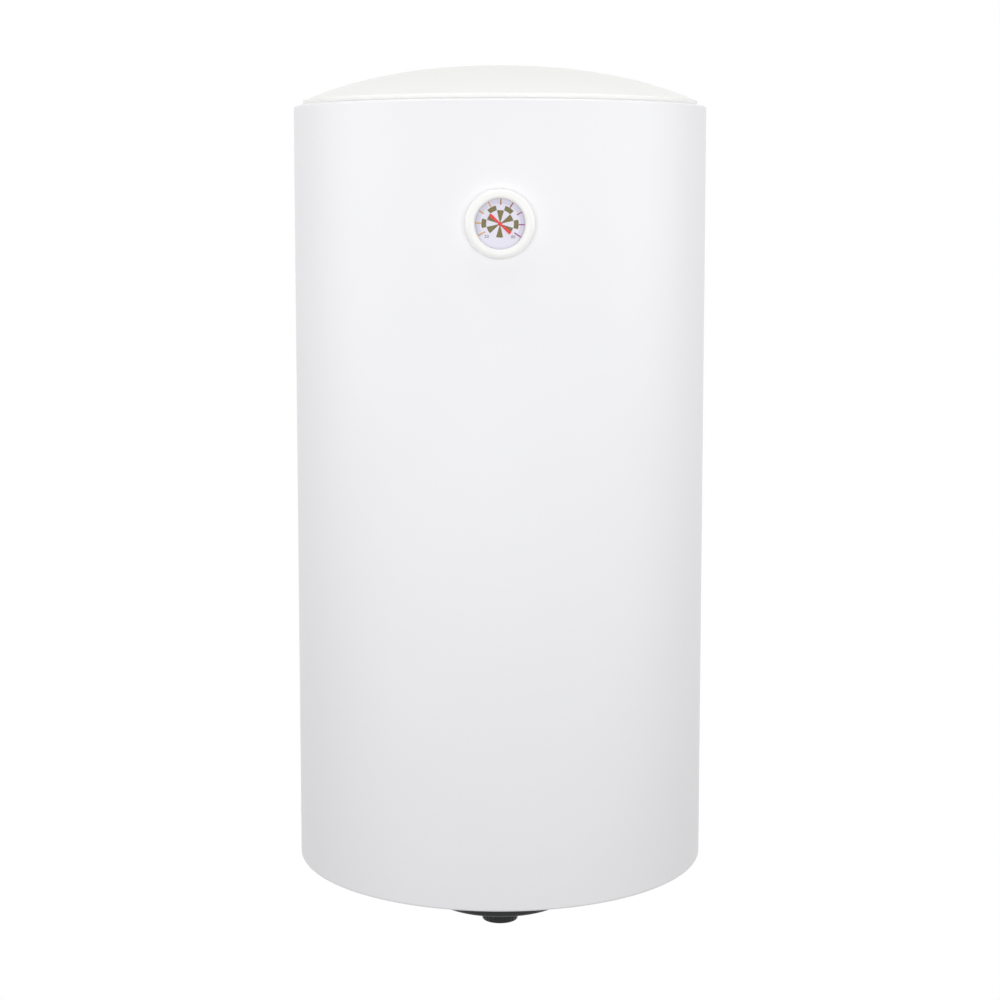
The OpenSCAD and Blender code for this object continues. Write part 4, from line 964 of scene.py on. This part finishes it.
place(disc("dial_plate", dial_r, dial_back, dial_front, 0.1, arbor_r + 0.05), "heater",
      "printed_dial", ["thermometer_dial"])
piece(dial_print(), "heater", "printed_dial", ink)
piece(dial_numbers(), "heater", "printed_dial", ink)
needle, *rest = pointer()
place(carved(needle, *rest, pointer_hub(), how="UNION"), "needle", "red_pointer",
      ["thermometer_pointer"])


# ---- Studio ----

def studio_floor():
    """A pale round floor under the hanging heater, which thins out to nothing at its rim."""
    finish, tree, shader, place_at = started(
        "pale_floor", Base_Color=colour("#F4F4F4"), Roughness=0.9)
    level = add(tree, "Mapping", {"Vector": place_at, "Scale": (1.0, 1.0, 0.0)})
    far = add(tree, "VectorMath", {0: level.outputs[0]}, operation="LENGTH")
    edge = add(tree, "MapRange", {"Value": far.outputs["Value"], "From Min": 0.8, "From Max": 1.65},
               interpolation_type="SMOOTHSTEP")
    under = add(tree, "NewGeometry").outputs["Backfacing"]
    hidden = add(tree, "Math", {0: edge.outputs[0], 1: under}, operation="MAXIMUM")
    nothing = add(tree, "BsdfTransparent")
    both = add(tree, "MixShader", {0: hidden.outputs[0], 1: shader.outputs[0], 2: nothing.outputs[0]})
    tree.links.new(both.outputs[0], tree.nodes["Material Output"].inputs["Surface"])
    steps, rim_r, height = 96, 1700, -1600
    angle = np.arange(steps) * TAU / steps
    rim = np.stack([rim_r * np.cos(angle), rim_r * np.sin(angle), 0 * angle + height], -1)
    mesh = bpy.data.meshes.new("studio_floor")
    mesh.from_pydata((rim / 1000).tolist(), [], [list(range(steps))])
    mesh.materials.append(finish)
    in_scene("studio_floor", mesh)


def softbox(name, spot, aim, size, power, mirrored=True):
    """A wide lamp at spot, turned towards aim, in metres and watts. Glossy things and windows
    show it only where it is mirrored."""
    lamp = bpy.data.lights.new(name, "AREA")
    lamp.shape, lamp.size, lamp.size_y, lamp.energy = "RECTANGLE", *size, power
    thing = in_scene(name, lamp)
    thing.location, thing.visible_camera = spot, False
    thing.visible_glossy = thing.visible_transmission = mirrored
    from_lamp = np.array(aim) - np.array(spot)
    thing.rotation_euler = (math.atan2(math.hypot(*from_lamp[:2]), -from_lamp[2]), 0,
                            math.atan2(from_lamp[1], from_lamp[0]) - math.pi / 2)


def studio_world(all_round, behind):
    """Soft light from all round, with more from behind, by the square of how far a direction
    points that way. It is plain white where it is seen, mirrored or looked through."""
    world = bpy.data.worlds.new("studio")
    world.use_nodes = True
    tree = world.node_tree
    path = add(tree, "LightPath")
    seen = path.outputs["Is Camera Ray"]
    for ray in ("Is Glossy Ray", "Is Transmission Ray"):
        seen = add(tree, "Math", {0: seen, 1: path.outputs[ray]}, operation="MAXIMUM").outputs[0]
    heading = add(tree, "SeparateXYZ", {0: add(tree, "TexCoord").outputs["Generated"]})
    back = add(tree, "Math", {0: heading.outputs["Y"], 1: 0.0}, operation="MAXIMUM")
    back = add(tree, "Math", {0: back.outputs[0], 1: 2.0}, operation="POWER")
    soft = add(tree, "Math", {0: back.outputs[0], 1: behind, 2: all_round}, operation="MULTIPLY_ADD")
    level = add(tree, "MapRange", {"Value": seen, "To Min": soft.outputs[0], "To Max": 1.0})
    tree.links.new(level.outputs[0], tree.nodes["Background"].inputs["Strength"])
    tree.nodes["Background"].inputs["Color"].default_value = (1, 1, 1, 1)
    bpy.context.scene.world = world


def camera():
    """A long lens in front, about 0.1 m under the jacket's top edge, tipped down."""
    lens = bpy.data.cameras.new("camera")
    lens.lens, lens.sensor_width, lens.shift_y = 75.9, 36, -0.07
    thing = in_scene("camera", lens)
    away, height, tip = 2.3346, 0.0769, 6.37  # m from the jacket's axis, m, and degrees
    thing.location = (0, axis_y / 1000 - away, height)
    thing.rotation_euler = (math.radians(90 - tip), 0, 0)
    bpy.context.scene.camera = thing


studio_floor()
aim = (0, axis_y / 1000, 0.05)
softbox("top_light", (0, -0.6, 2.2), aim, (2.0, 1.5), 22)
# Not mirrored, or the thermometer's window would show it and wash out the dial
softbox("front_light", (0, -1.9, 0.03), (0, axis_y / 1000, 0.03), (1.6, 0.8), 14.9, mirrored=False)
for name, x in (("left_side", -1.5), ("right_side", 1.5)):
    softbox(name, (x, -0.5, 0.25), aim, (1.0, 0.9), 6.6)
studio_world(all_round=0.35, behind=0.72)
camera()
bpy.context.scene.view_settings.view_transform = "Standard"
